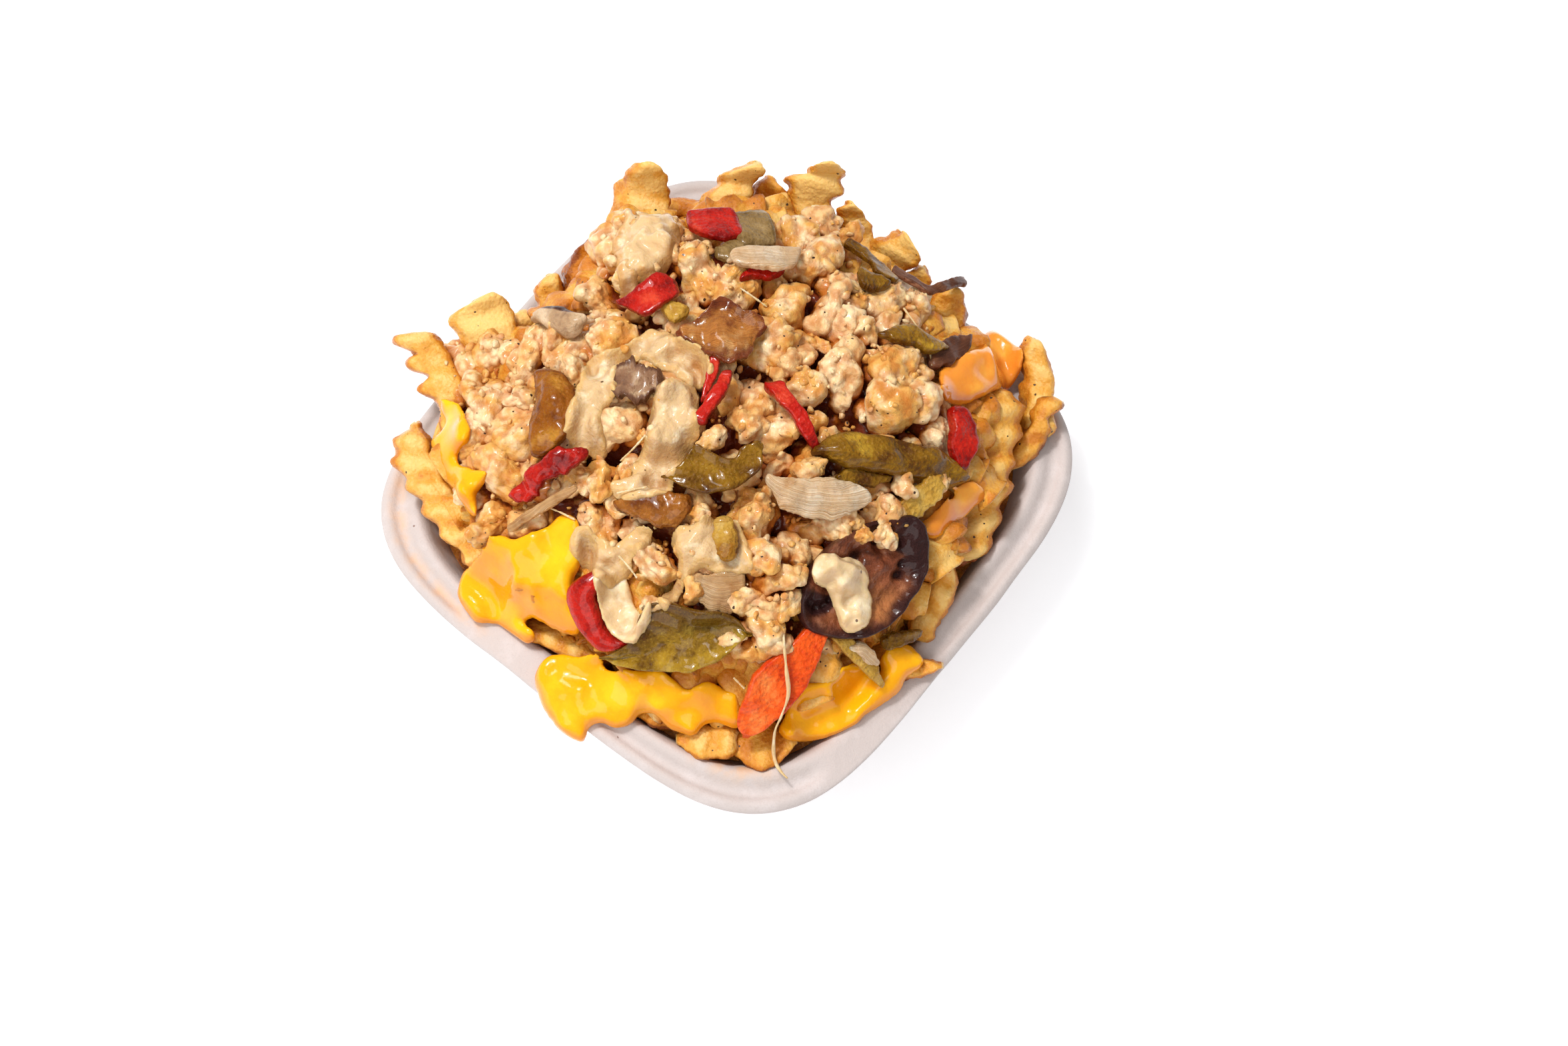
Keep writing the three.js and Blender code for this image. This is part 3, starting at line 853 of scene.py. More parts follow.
@dataclass
class Shelf:
    """The shared node groups and the materials, each made once."""

    flecks: NodeTree = field(default_factory=flecks_group)
    crumb: NodeTree = field(default_factory=crumb_group)
    mottle: NodeTree = field(default_factory=mottle_group)
    made: dict[object, Material] = field(default_factory=dict)

    def take(self, finish: object) -> Material:
        """The material of a finish.

        Args:
            finish: The finish.

        Returns:
            The material.
        """
        if finish not in self.made:
            self.made[finish] = finish.make(self)
        return self.made[finish]


class Paint(Net):
    """A material under way: its nodes, its shader and its Object coordinates."""

    def __init__(self, name: str, shelf: Shelf | None = None) -> None:
        """Starts the material, with a shader that is wired to its output.

        Args:
            name: Its name.
            shelf: The shared groups and materials.
        """
        self.material = bpy.data.materials.new(name)
        self.material.use_nodes = True
        self.material.node_tree.nodes.clear()
        super().__init__(self.material.node_tree)
        self.shelf = shelf
        self.shader = self.node("ShaderNodeBsdfPrincipled", {"Coat IOR": 1.36})
        self.node("ShaderNodeOutputMaterial", {"Surface": self.shader.outputs[0]})
        self.place = self.node("ShaderNodeTexCoord").outputs["Object"]

    def value(self, name: str) -> NodeSocket:
        """A value that the mesh carries at its points."""
        return self.node("ShaderNodeAttribute", attribute_name=name).outputs["Fac"]

    def noise(self, size: float, detail: float = 3.0, rough: float = 0.55) -> NodeSocket:
        """Soft noise of that size in mm."""
        look = {"Vector": self.place, "Scale": 1.0 / (size * MM), "Detail": detail, "Roughness": rough}
        return self.node("ShaderNodeTexNoise", look).outputs[0]

    def drift(self, size: float, reach: float, detail: float = 3.0, rough: float = 0.55) -> NodeSocket:
        """Soft noise about 0, times a reach."""
        return self.times(self.math("SUBTRACT", self.noise(size, detail, rough), 0.5), reach)

    def cells(self, size: float) -> NodeSocket:
        """Distance to the nearest of seeds that lie that size in mm apart."""
        look = {"Vector": self.place, "Scale": 1.0 / (size * MM)}
        return self.node("ShaderNodeTexVoronoi", look).outputs["Distance"]

    def mottle(self, pitch: float, light: Colour, main_: Colour, deep: Colour, bias: float = 0) -> NodeSocket:
        """Three colours mixed by the shared mottle.

        Args:
            pitch: Size of its patches in mm.
            light, main_, deep: The colours.
            bias: Above 0 for more of the deep one.

        Returns:
            The colour.
        """
        colours = {"Light": light, "Main": main_, "Deep": deep}
        made = self.use(self.shelf.mottle, Place=self.place, Pitch=pitch, Bias=bias, **colours)
        return made.outputs["Color"]

    def crumb(self, pitch: float, grain: float) -> NodeSocket:
        """Height of the shared crumb."""
        return self.use(self.shelf.crumb, Place=self.place, Pitch=pitch, Grain=grain).outputs["Height"]

    def lay(self, under: object, over: object, value: object, low: float, high: float,
            strength: object = 1.0) -> NodeSocket:
        """Lays a colour over another where a value goes from low to high, by a strength."""
        return self.mix(self.times(self.ramp(value, low, high), strength), under, over)

    def fleck(self, under: object, over: Colour, pitch: float, size: float, share: float,
              strength: float = 1.0) -> NodeSocket:
        """Lays flecks of a colour over another, by the shared flecks."""
        made = self.use(self.shelf.flecks, Place=self.place, Pitch=pitch, Size=size, Share=share)
        return self.mix(self.times(made.outputs["Mask"], strength), under, over)

    def finish(self, heights: Sequence[tuple[object, float]], **inputs: object) -> Material:
        """Chains bumps into the normal and fills the shader's inputs.

        Args:
            heights: Heights with their depths in mm.
            inputs: Values or sockets by the input's name, with _ for a space.

        Returns:
            The material.
        """
        normal = {}
        for height, depth in heights:
            look = {"Height": height, "Distance": depth * MM, "Strength": 1.0, **normal}
            normal = {"Normal": self.node("ShaderNodeBump", look).outputs[0]}
        for key, value in (*inputs.items(), *normal.items()):
            self.feed(self.shader.inputs[key.replace("_", " ")], value)
        return self.material


def soaked(weight: float, reach: float, tint: Colour) -> dict[str, object]:
    """Inputs that let light soak into the food by a reach in mm, further in the colours of the tint."""
    return {"Subsurface_Weight": weight, "Subsurface_Radius": tint, "Subsurface_Scale": reach * MM}


def shine(level: float, coat: float, coat_roughness: float) -> dict[str, object]:
    """Inputs for a specular level and a wet coat."""
    return {"Specular_IOR_Level": level, "Coat_Weight": coat, "Coat_Roughness": coat_roughness}


@dataclass(frozen=True)
class ChickenFinish:
    """Moist chopped chicken: cream crests, tan flanks, pepper flecks, and painted shade in its nooks, creases
    and hollows.
    """

    light: Colour = (0.86, 0.645, 0.375)
    main: Colour = (0.71, 0.37, 0.088)
    deep: Colour = (0.50, 0.14, 0.011)
    hollow: Colour = (0.16, 0.020, 0.002)
    toast: Colour = (0.50, 0.20, 0.045)
    fleck: Colour = (0.05, 0.02, 0.008)

    def make(self, shelf: Shelf) -> Material:
        """Builds the material from the mesh's values: its depth in the heap and in a crease, which paint
        shade into the colour, and its tint.

        Args:
            shelf: The shared groups and materials.

        Returns:
            The material.
        """
        paint = Paint("Chicken", shelf)
        crumb, hollow = paint.crumb(2.3, 0.45), paint.value("hollow")
        colour = paint.mottle(9.0, self.light, self.main, self.deep, -0.06)
        colour = paint.lay(colour, self.light, paint.value("tint"), 0.4, 1.0, 0.5)
        # Painted shade: deeper colour in the crumb's nooks, in creases and deep in the heap, near black in
        # its hollows.
        colour = paint.lay(colour, self.deep, crumb, 0.95, 0.55, 0.62)
        colour = paint.lay(colour, self.deep, paint.value("crease"), 0.45, 1.0, 0.85)
        colour = paint.lay(colour, self.deep, hollow, 0.1, 0.8)
        colour = paint.lay(colour, self.hollow, hollow, 0.6, 1.15)
        colour = paint.lay(colour, self.toast, paint.noise(5.0, 4.0, 0.65), 0.56, 0.72, 0.65)
        wet = paint.times(paint.ramp(paint.noise(4.0), 0.35, 0.7), 0.24)
        return paint.finish(
            [(crumb, 0.75), (paint.noise(0.6, 3.0, 0.7), 0.2)],
            Base_Color=paint.fleck(colour, self.fleck, 2.6, 0.11, 0.4),
            Roughness=paint.math("SUBTRACT", 0.6, wet),
            **shine(0.15, 0.5, 0.14), **soaked(0.22, 2.2, (1.0, 0.5, 0.2)))


@dataclass(frozen=True)
class FryFinish:
    """Fried potato: pale flats, amber crinkles, toasted corners, grainy skin, flecks, and painted shade
    carried in the brown value.
    """

    pale: Colour = (0.82, 0.51, 0.15)
    gold: Colour = (0.74, 0.35, 0.048)
    amber: Colour = (0.56, 0.185, 0.013)
    toast: Colour = (0.24, 0.055, 0.006)
    inside: Colour = (0.85, 0.60, 0.24)
    fleck: Colour = (0.06, 0.03, 0.012)

    def make(self, shelf: Shelf) -> Material:
        """Builds the material from the brown and cut values of the mesh; brown also carries painted shade in
        grooves and in the bed between fries.

        Args:
            shelf: The shared groups and materials.

        Returns:
            The material.
        """
        paint = Paint("Fry", shelf)
        soft = paint.noise(5.0, 4.0, 0.6)
        level = paint.plus(paint.value("brown"), paint.times(paint.math("SUBTRACT", soft, 0.5), 1.5))
        level = paint.plus(level, paint.drift(0.7, 0.7, 3.0, 0.7))
        colour = paint.mix(paint.ramp(level, 0.0, 0.45), self.pale, self.gold)
        colour = paint.lay(colour, self.amber, level, 0.4, 0.9)
        colour = paint.lay(colour, self.toast, level, 1.0, 1.6)
        colour = paint.lay(colour, self.inside, soft, 0.35, 0.6, paint.value("cut"))
        return paint.finish(
            [(paint.crumb(1.0, 0.6), 0.3), (paint.noise(0.35, 3.0, 0.7), 0.12)],
            Base_Color=paint.fleck(colour, self.fleck, 2.4, 0.12, 0.32),
            Roughness=paint.ramp(soft, 0.1, 1.9, False), Specular_IOR_Level=0.3,
            **soaked(0.18, 1.8, (1.0, 0.5, 0.12)))


@dataclass(frozen=True)
class PepperFinish:
    """Cooked pepper: wet translucent flesh with fine glitter, deeper at its edges or swept across."""

    name: str
    light: Colour
    main: Colour
    deep: Colour
    sweep: float = 0.0

    def make(self, shelf: Shelf) -> Material:
        """Builds the material; the mesh's edge value deepens its rim and its across value one side.

        Args:
            shelf: The shared groups and materials.

        Returns:
            The material.
        """
        paint = Paint(self.name, shelf)
        colour = paint.mottle(9.0, self.light, self.main, self.deep, 0.04)
        colour = paint.lay(colour, self.deep, paint.value("across"), 1.0, -0.9, self.sweep)
        colour = paint.lay(colour, self.deep, paint.value("edge"), 0.7, 1.0, 0.5 - 0.4 * self.sweep)
        colour = paint.lay(colour, self.light, paint.noise(0.8, 2.0, 0.6), 0.56, 0.74, 0.22)
        is_red = self.main[0] > 2 * self.main[1]
        return paint.finish(
            [(paint.noise(3.0, 3.0, 0.6), 0.8), (paint.cells(1.2), 0.42), (paint.noise(0.7, 2.0), 0.25)],
            Base_Color=colour, Roughness=0.3, **shine(0.06, 0.6, 0.06),
            **soaked(0.25, 2.0, (1.0, 0.35, 0.15) if is_red else (1.0, 0.8, 0.2)))


@dataclass(frozen=True)
class OnionFinish:
    """Cooked onion: fibres along the slice, cream to tan, glossy and translucent."""

    name: str
    light: Colour
    main: Colour
    deep: Colour
    stripes: float = 0.5
    gloss: float = 0.4
    wet: float = 0.3
    rimmed: float = 0.0

    def make(self, shelf: Shelf) -> Material:
        """Builds the material; the across value of the mesh carries the fibres, the edge value its rim.

        Args:
            shelf: The shared groups and materials.

        Returns:
            The material.
        """
        paint = Paint(self.name, shelf)
        lane = paint.plus(paint.times(paint.value("across"), 9.0), paint.times(paint.noise(9.0, 1.0), 5.0))
        look = {"W": lane, "Scale": 1.6, "Detail": 3.0, "Roughness": 0.6}
        line = paint.node("ShaderNodeTexNoise", look, noise_dimensions="1D").outputs[0]
        colour = paint.mottle(8.0, self.light, self.main, self.deep)
        colour = paint.lay(colour, self.deep, line, 0.35, 0.7, self.stripes)
        rim = paint.plus(paint.value("edge"), paint.drift(3.5, 0.9))
        return paint.finish(
            [(line, 0.7), (paint.noise(1.5, 3.0), 0.2 + 0.4 * self.wet)],
            Base_Color=paint.lay(colour, self.deep, rim, 0.45, 0.95, self.rimmed), Roughness=self.gloss,
            **shine(0.12, self.wet, 0.06), **soaked(0.35, 3.0, (1.0, 0.7, 0.4)))


@dataclass(frozen=True)
class CheeseFinish:
    """Melted cheese or sauce: smooth, glossy, light soaking in, with painted shade on its steep flanks and in
    hollows.
    """

    name: str
    light: Colour
    main: Colour
    deep: Colour
    roughness: float
    ripple: float
    soak: float = 0.3
    flecked: bool = False
    coat: float = 0.7
    brim: Colour = (0.80, 0.27, 0.004)
    patch: float = 14.0

    def make(self, shelf: Shelf) -> Material:
        """Builds the material: the mesh's slope and depth values paint shade into it, and its rim value a rim
        colour.

        Args:
            shelf: The shared groups and materials.

        Returns:
            The material.
        """
        paint = Paint(self.name, shelf)
        # Painted shade: deeper colour on steep flanks and where the melt lies below the heap around it.
        hollow = paint.ramp(paint.value("hollow"), -0.1, 0.6)
        flank_shade = paint.plus(paint.ramp(paint.value("steep"), 0.08, 0.65), hollow)
        colour = paint.mottle(self.patch, self.light, self.main, self.main)
        colour = paint.lay(colour, self.deep, paint.plus(flank_shade, paint.drift(9.0, 0.3, 2.0)), 0.25, 1.6, 0.9)
        brim = paint.plus(paint.value("rim"), paint.drift(2.2, 1.5, 4.0, 0.65))
        colour = paint.lay(colour, self.brim, brim, 0.45, 1.05, 0.85)
        if self.flecked:
            colour = paint.fleck(colour, (0.12, 0.06, 0.03), 3.4, 0.08, 0.3)
        return paint.finish(
            [(paint.noise(3.5, 2.0), self.ripple), (paint.noise(1.0, 3.0, 0.6), self.ripple * 0.6)],
            Base_Color=colour, Roughness=self.roughness, **shine(0.06, self.coat, 0.03),
            **soaked(self.soak, 3.0, (1.0, 0.6, 0.2)))


@dataclass(frozen=True)
class MushroomFinish:
    """Wet mushroom: brown flesh that darkens to a purple-black rim."""

    name: str = "Mushroom"
    flesh: Colour = (0.19, 0.052, 0.022)
    pale: Colour = (0.42, 0.17, 0.085)
    rim: Colour = (0.030, 0.010, 0.009)
    deep: Colour = (0.055, 0.015, 0.009)
    warm: Colour = (0.46, 0.17, 0.055)
    topside: bool = False

    def make(self, shelf: Shelf) -> Material:
        """Builds the material from the edge and warm values, or from across if only its topside is dark.

        Args:
            shelf: The shared groups and materials.

        Returns:
            The material.
        """
        paint = Paint(self.name, shelf)
        edge = paint.times(paint.value("across"), -2.2) if self.topside else paint.value("edge")
        edge = paint.plus(edge, paint.drift(6.0, 0.35))
        colour = paint.mottle(7.0, self.pale, self.flesh, self.deep)
        colour = paint.lay(colour, self.warm, paint.noise(4.0), 0.2, 0.6, paint.value("warm"))
        colour = paint.lay(colour, self.deep, edge, 0.62, 0.84)
        return paint.finish(
            [(paint.noise(2.5, 4.0, 0.6), 0.8), (paint.noise(1.0, 2.0), 0.5)],
            Base_Color=paint.lay(colour, self.rim, edge, 0.8, 0.95),
            Roughness=paint.ramp(paint.noise(2.0), -0.2, 1.4, False), **shine(0.05, 0.4, 0.06),
            **soaked(0.15, 2.0, (1.0, 0.4, 0.2)))


@dataclass(frozen=True)
class FibreFinish:
    """Moulded plant fibre: off-white with fine grain, faint specks and an oil stain."""

    light: Colour = (0.60, 0.53, 0.51)
    main: Colour = (0.55, 0.48, 0.455)
    deep: Colour = (0.47, 0.395, 0.370)
    oil: Colour = (0.70, 0.44, 0.27)
    speck: Colour = (0.2, 0.1, 0.07)

    def make(self, shelf: Shelf) -> Material:
        """Builds the material; the oil value of the mesh carries the stain.

        Args:
            shelf: The shared groups and materials.

        Returns:
            The material.
        """
        paint = Paint("MouldedFibre", shelf)
        grain = paint.noise(0.45, 3.0, 0.7)
        colour = paint.mottle(9.0, self.light, self.main, self.main)
        colour = paint.lay(colour, self.deep, grain, 0.45, 0.8, 0.5)
        colour = paint.lay(colour, self.oil, paint.noise(5.0), 0.3, 0.7, paint.value("oil"))
        return paint.finish(
            [(grain, 0.12), (paint.noise(1.6, 3.0), 0.15)],
            Base_Color=paint.fleck(colour, self.speck, 6.0, 0.05, 0.2, 0.7), Roughness=0.85)


def turned(forms: int, rng: np.random.Generator, tilt: float) -> Array:
    """Turns for loose pieces: any way about Z, then a tilt of up to that many radians.

    Args:
        forms: How many pieces.
        rng: The random source.
        tilt: Most tilt.

    Returns:
        One matrix for each piece.
    """
    spin = rng.uniform(0, 2 * math.pi, forms)
    lean = rng.uniform(-tilt, tilt, (forms, 2))
    c, s = np.cos(spin), np.sin(spin)
    zero, one = np.zeros(forms), np.ones(forms)
    about_z = np.stack([c, -s, zero, s, c, zero, zero, zero, one], axis=-1).reshape(-1, 3, 3)
    cx, sx = np.cos(lean[:, 0]), np.sin(lean[:, 0])
    about_x = np.stack([one, zero, zero, zero, cx, -sx, zero, sx, cx], axis=-1).reshape(-1, 3, 3)
    cy, sy = np.cos(lean[:, 1]), np.sin(lean[:, 1])
    about_y = np.stack([cy, zero, sy, zero, one, zero, -sy, zero, cy], axis=-1).reshape(-1, 3, 3)
    return about_x @ about_y @ about_z


def ball(rows: int, cols: int) -> Array:
    """Directions on a grid of latitude rows and longitude columns, poles left out.

    Args:
        rows: Latitude rows.
        cols: Longitude columns.

    Returns:
        Unit directions.
    """
    polar = math.pi * (np.arange(rows) + 0.5) / rows
    azimuth = around(cols)
    up, round_ = np.meshgrid(polar, azimuth, indexing="ij")
    return np.stack([np.sin(up) * np.cos(round_), np.sin(up) * np.sin(round_), np.cos(up)], axis=-1)[::-1]


def crags(centres: Array, radii: Array, rows: int, cols: int, seed: int, rough: float = 1.0,
          tilt: float = 0.7) -> tuple[Array, Array]:
    """Chopped lumps: stretched balls cut by blurred planes, with bent nubs, folds and grain.

    A plane with way n and offset h cuts a ball to h divided by the share of n in the way
    looked in; the cuts are blended by a high power mean, so that their edges are round.

    Args:
        centres: Middle of each lump.
        radii: Radius of each lump.
        rows: Latitude rows.
        cols: Longitude columns.
        seed: Seed of the turns and the noise.
        rough: How deep the crags are.
        tilt: Most tilt in radians.

    Returns:
        Grids, as lump, row, column and x, y, z, and how far in a crease each point lies.
    """
    rng = np.random.default_rng(seed)
    forms = len(radii)
    limits = ((1.0, 1.55), (0.72, 1.02), (0.66, 0.9))
    stretch = np.column_stack([rng.uniform(low, high, forms) for low, high in limits])
    turn = turned(forms, rng, tilt)
    way = ball(rows, cols)[None]
    cuts = unit(rng.normal(0, 1, (forms, 8, 3)))
    offset = rng.uniform(0.62, 0.95, (forms, 8))
    facing = np.maximum(np.einsum("frcj,fkj->frck", np.broadcast_to(way, (forms, rows, cols, 3)), cuts), 0.0)
    cut = ((facing / offset[:, None, None]) ** 9).sum(axis=-1)
    shape = (1.0 + cut) ** (-1 / 9)
    body = way * (stretch * radii[:, None])[:, None, None, :] * shape[..., None]
    out = unit(way / stretch[:, None, None, :])
    body = np.einsum("fij,frcj->frci", turn, body)
    out = np.einsum("fij,frcj->frci", turn, out)
    size = radii[:, None, None]
    at = body + centres[:, None, None, :]
    spot = at + 31.7 * np.arange(forms)[:, None, None, None]
    bent = spot + 1.7 * np.stack([noise(spot, 3.6, seed + 60 + k) for k in range(3)], axis=-1)
    crag = 0.25 + 0.75 * smoothstep((noise(spot, 8.0, seed + 40) + 0.6) / 0.7)
    large = nubs(bent, size[..., None], seed + 2)
    middle, small = nubs(bent, 4.2, seed + 5), nubs(bent, 2.3, seed + 9)
    swell = size * (0.24 * fractal(spot / size[..., None], 1.1, 2, seed) + 0.26 * rough * (large - 0.74))
    swell += rough * crag * (2.3 * (middle - 0.74) + 0.6 * (small - 0.74))
    swell += 0.38 * rough * fractal(spot, 1.9, 3, seed + 3, 0.6)
    # The crease value paints shade into the chicken's colour.
    crease = 0.3 * (1 - large) + crag * (0.65 * (1 - middle) + 0.45 * (1 - small))
    return at + out * swell[..., None], crease


@dataclass
class Chicken:
    """The chopped chicken: a bed, lumps read from the pile's front to back, and crumbs."""

    lumps: tuple[Point, ...] = (
        (-58, 26, 10), (-50, 33, 7), (-65, 31, 6), (-50, 8, 6.6), (-37, 32, 6.6), (-30, 29, 8), (-21, 31, 7),
        (-29, 61, 7.5), (-19, 66, 6.8), (-19, 57, 7), (-10, 64, 6.2), (-11, 51, 8), (-2, 53, 9), (-7, 34, 7),
        (3, 41, 7), (10, 43, 7), (8, 61, 8), (15, 63, 6), (-4, 23, 8), (5, 24, 6), (16, 28, 7), (25, 41, 9),
        (33, 32, 9), (37, 43, 6), (45, 35, 6), (12, 20, 6), (5, 4, 9), (14, 5, 6.6), (26, 4, 6),
        (-15, -8, 7), (-8, -17, 7), (-47, -7, 8), (-38, -2, 7), (-57, -14, 7.5), (-68, -19, 6),
        (-78, -23, 7), (-70, -29, 7), (-60, -31, 7.5), (-51, -26, 6.6), (-55, -41, 7.5), (-45, -35, 8),
        (-42, -45, 8), (-45, -53, 6), (-36, -56, 7), (-27, -52, 6), (-30, -17, 7), (-27, -26, 7),
        (-20, -21, 7), (-18, -35, 6.6), (-9, -30, 7), (-9, -42, 6), (22, -16, 7), (12, -27, 6), (18, -32, 8),
        (33, -24, 8), (38, -17, 6.4), (37, -33, 7), (44, -38, 6.6), (41, -3, 7), (47, 6, 6), (9, -40, 6.4),
        (-66, 44, 6), (-45, 61, 6.4), (30, 66, 6), (-72, 8, 6),
    )
    seen: tuple[tuple[float, float, float, float], ...] = (
        (1066, 660, 4.2, 5.0), (1215, 700, 4.0, 5.5), (1357, 727, 4.4, 5.5), (1412, 722, 3.2, 5.5),
        (1160, 962, 5.8, 3.5), (1265, 792, 6.0, 3.5), (1330, 772, 5.6, 3.0), (1330, 806, 3.6, 7.0),
        (1050, 770, 3.2, 4.5), (1138, 768, 5.0, 4.0), (895, 728, 5.0, 4.5), (830, 508, 5.0, 2.5),
        (1052, 372, 3.6, 5.5), (1345, 560, 8.5, 2.0), (1335, 612, 8.5, 2.0), (1005, 603, 6.0, 4.0),
        (1008, 645, 6.6, 4.0), (948, 345, 6.4, 3.0), (984, 348, 6.0, 3.5), (964, 376, 6.6, 3.5),
        (936, 398, 6.4, 2.5), (932, 368, 6.0, 2.0), (998, 376, 5.0, 3.5), (960, 408, 5.4, 2.5),
        (1120, 900, 4.0, 5.0), (1246, 850, 4.2, 6.5), (1266, 878, 3.2, 6.5), (1325, 795, 3.4, 6.5),
        (1100, 955, 4.6, 4.0), (1135, 835, 6.2, 5.0), (1168, 872, 5.8, 5.5), (1138, 905, 5.6, 5.0),
        (1180, 908, 4.6, 6.0), (1150, 946, 5.4, 5.0), (1190, 905, 4.2, 4.5), (1290, 800, 4.0, 6.0),
        (860, 552, 4.6, 4.0), (985, 905, 3.6, 6.5), (1040, 880, 4.4, 4.0),
    )
    holes: Line = (
        (1125, 565), (997, 800), (997, 872), (1218, 540), (1210, 458), (1290, 500), (1042, 650), (1070, 628),
        (1100, 675), (1275, 632), (1395, 520), (870, 560), (955, 520), (1100, 440), (780, 585), (790, 625),
        (925, 680), (1350, 640), (1230, 610), (880, 700), (1150, 800), (1060, 700), (1190, 660), (1310, 470),
        (720, 560), (975, 822), (992, 845),
    )
    sunk: float = 0.45
    fill_pitch: float = 7.4
    crumb_count: int = 1150
    bed_drop: float = 6.2
    bed_share: float = 0.97

    def places(self) -> tuple[Array, Array, Array, Array]:
        """Where the lumps lie: those read from the pile, and a jittered fill between them.

        Returns:
            Centres and radii of the large lumps, then of the small ones.
        """
        rng = np.random.default_rng(11)
        rows = np.asarray(self.lumps, dtype=float)
        rows = rows[REGION.covers(PILE.lift(rows * np.array([1.0, 1.0, 0.0])))]
        axis = np.arange(-76, 80, self.fill_pitch)
        x, y = (g.ravel() for g in np.meshgrid(axis, axis, indexing="ij"))
        x = x + rng.uniform(-2.8, 2.8, len(x))
        y = y + rng.uniform(-2.8, 2.8, len(y))
        radius = rng.uniform(3.0, 5.8, len(x))
        reach = 0.55 * rows[:, 2] + 0.55 * radius[:, None]
        near = np.hypot(x[:, None] - rows[:, 0], y[:, None] - rows[:, 1]) / reach
        out = unit(np.stack([x - PILE.centre_x, y - PILE.centre_y], axis=-1)) * 0.5 * radius[:, None]
        edge = np.stack([x + out[:, 0], y + out[:, 1], PILE.height(x, y)], axis=-1)
        hole = LENS.onto(self.holes, -3.0)
        clear = np.hypot(x[:, None] - hole[:, 0], y[:, None] - hole[:, 1]).min(axis=1) > 1.6 + 0.6 * radius
        keep = REGION.covers(edge) & (near.min(axis=1) > 0.85) & clear
        fill = np.column_stack([x[keep], y[keep], radius[keep]])
        drop = rng.uniform(0.0, 3.4, len(fill))
        small_at, small_r = self.centres(fill)
        small_at[:, 2] -= drop
        large_at, large_r = self.centres(rows)
        return large_at, 1.1 * large_r, small_at, small_r

    def centres(self, rows: Array) -> tuple[Array, Array]:
        """Lump centres, sunk into the dome by a share of their radius."""
        z = PILE.height(rows[:, 0], rows[:, 1]) - self.sunk * rows[:, 2]
        return np.column_stack([rows[:, 0], rows[:, 1], z]), rows[:, 2]

    def bed(self) -> Array:
        """The close surface under the lumps, as one grid of angle and share, with holes pressed in.

        Returns:
            One grid.
        """
        angle = around(300)
        run = np.concatenate([np.linspace(0.02, 1.0, 116), [0.99, 0.93]])
        s, a = np.meshgrid(run, angle, indexing="ij")
        s = s * self.bed_share * REGION.limit(angle)
        reach = s * PILE.half / bow(a, PILE.roundness)
        x = PILE.centre_x + reach * np.cos(a)
        y = PILE.centre_y + reach * np.sin(a)
        hole = LENS.onto(self.holes, -5.0)
        gap = (x[..., None] - hole[:, 0]) ** 2 + (y[..., None] - hole[:, 1]) ** 2
        z = PILE.height(x, y) - self.bed_drop - 4.0 * np.exp(-gap / 9.0).max(axis=-1)
        z[-2] -= 6.0
        z[-1] -= 9.0
        at = np.stack([x, y, z], axis=-1)
        rise = 2.6 * (nubs(at, 6.4, 41) - 0.7) + 1.3 * (nubs(at, 3.0, 43) - 0.7)
        rise = rise + 0.5 * fractal(at, 1.5, 2, 47)
        return (at + PILE.normal(x, y) * rise[..., None])[None, ::-1]

    def build(self, relief: Relief, material: Material) -> None:
        """Builds the pieces, with painted shade by how deep each point lies in the heap and in a crease.

        Args:
            relief: The height map.
            material: The finish.
        """
        large_at, large_r, small_at, small_r = self.places()
        seen = np.asarray(self.seen, dtype=float)
        rng = np.random.default_rng(31)
        cut = len(large_r) // 2
        bed = relief.duck(self.bed())
        forms = [
            ("chicken_bed", bed, np.full(bed.shape[:3], 0.5)),
            ("chicken_lumps_left", *crags(large_at[:cut], large_r[:cut], 44, 64, 21)),
            ("chicken_lumps_right", *crags(large_at[cut:], large_r[cut:], 44, 64, 24)),
            ("chicken_pieces", *crags(small_at, small_r, 22, 32, 22, 0.9)),
        ]
        forms = [(name, relief.duck(grids), crease) for name, grids, crease in forms]
        upper_at = LENS.onto(seen[:, :2], seen[:, 3] - 0.2 * seen[:, 2])
        forms.append(("chicken_lumps_upper", *crags(upper_at, seen[:, 2], 36, 50, 23, 0.9)))
        for _, grids, _ in forms:
            relief.press(grids)
        ground = relief.soft(0.9)
        x, y = rng.uniform(-80, 80, (2, self.crumb_count))
        inside = REGION.covers(np.stack([x, y, PILE.height(x, y)], axis=-1))
        x, y = x[inside], y[inside]
        size = rng.uniform(0.6, 2.1, len(x)) * rng.uniform(0.5, 1.0, len(x))
        crumbs, crease = crags(np.column_stack([x, y, relief.read(ground, x, y)]), size, 6, 8, 33, 0.25, 1.2)
        forms.append(("chicken_crumbs", relief.duck(crumbs), crease))
        wide, wider = relief.soft(2.6), relief.soft(5.5)
        for name, grids, crease in forms:
            # Painted shade: how far each point lies below the heap, blurred near and wide.
            near = (relief.read(wide, grids[..., 0], grids[..., 1]) - grids[..., 2]) / 4.0
            far = (relief.read(wider, grids[..., 0], grids[..., 1]) - grids[..., 2]) / 6.5
            tint = np.broadcast_to(rng.uniform(0, 1, (len(grids), 1, 1)), near.shape)
            values = {"hollow": np.maximum(near, far), "crease": crease, "tint": tint}
            form(name, grids, values, (material, Slot.CHICKEN, ("chicken_heap",)))


@dataclass(frozen=True)
class Fry:
    """One crinkle-cut fry by its two ends, its section, its ridges' height, its turn and how brown it is."""

    start: Point
    end: Point
    width: float = 11.5
    thick: float = 9.0
    ridge: float = 0.9
    turn: float = 0.0
    brown: float = 0.35


@dataclass(frozen=True)
class Cut:
    """A fry that shows, by its two long edges as picture points and its height above the table."""

    left: Line
    right: Line
    height: float | tuple[float, ...]
    thick: float = 9.0
    brown: float = 0.3
    lean: float = 0.0
    ridge: float = 0.5
    square: float = 2.5
    scallop: float = 0.0


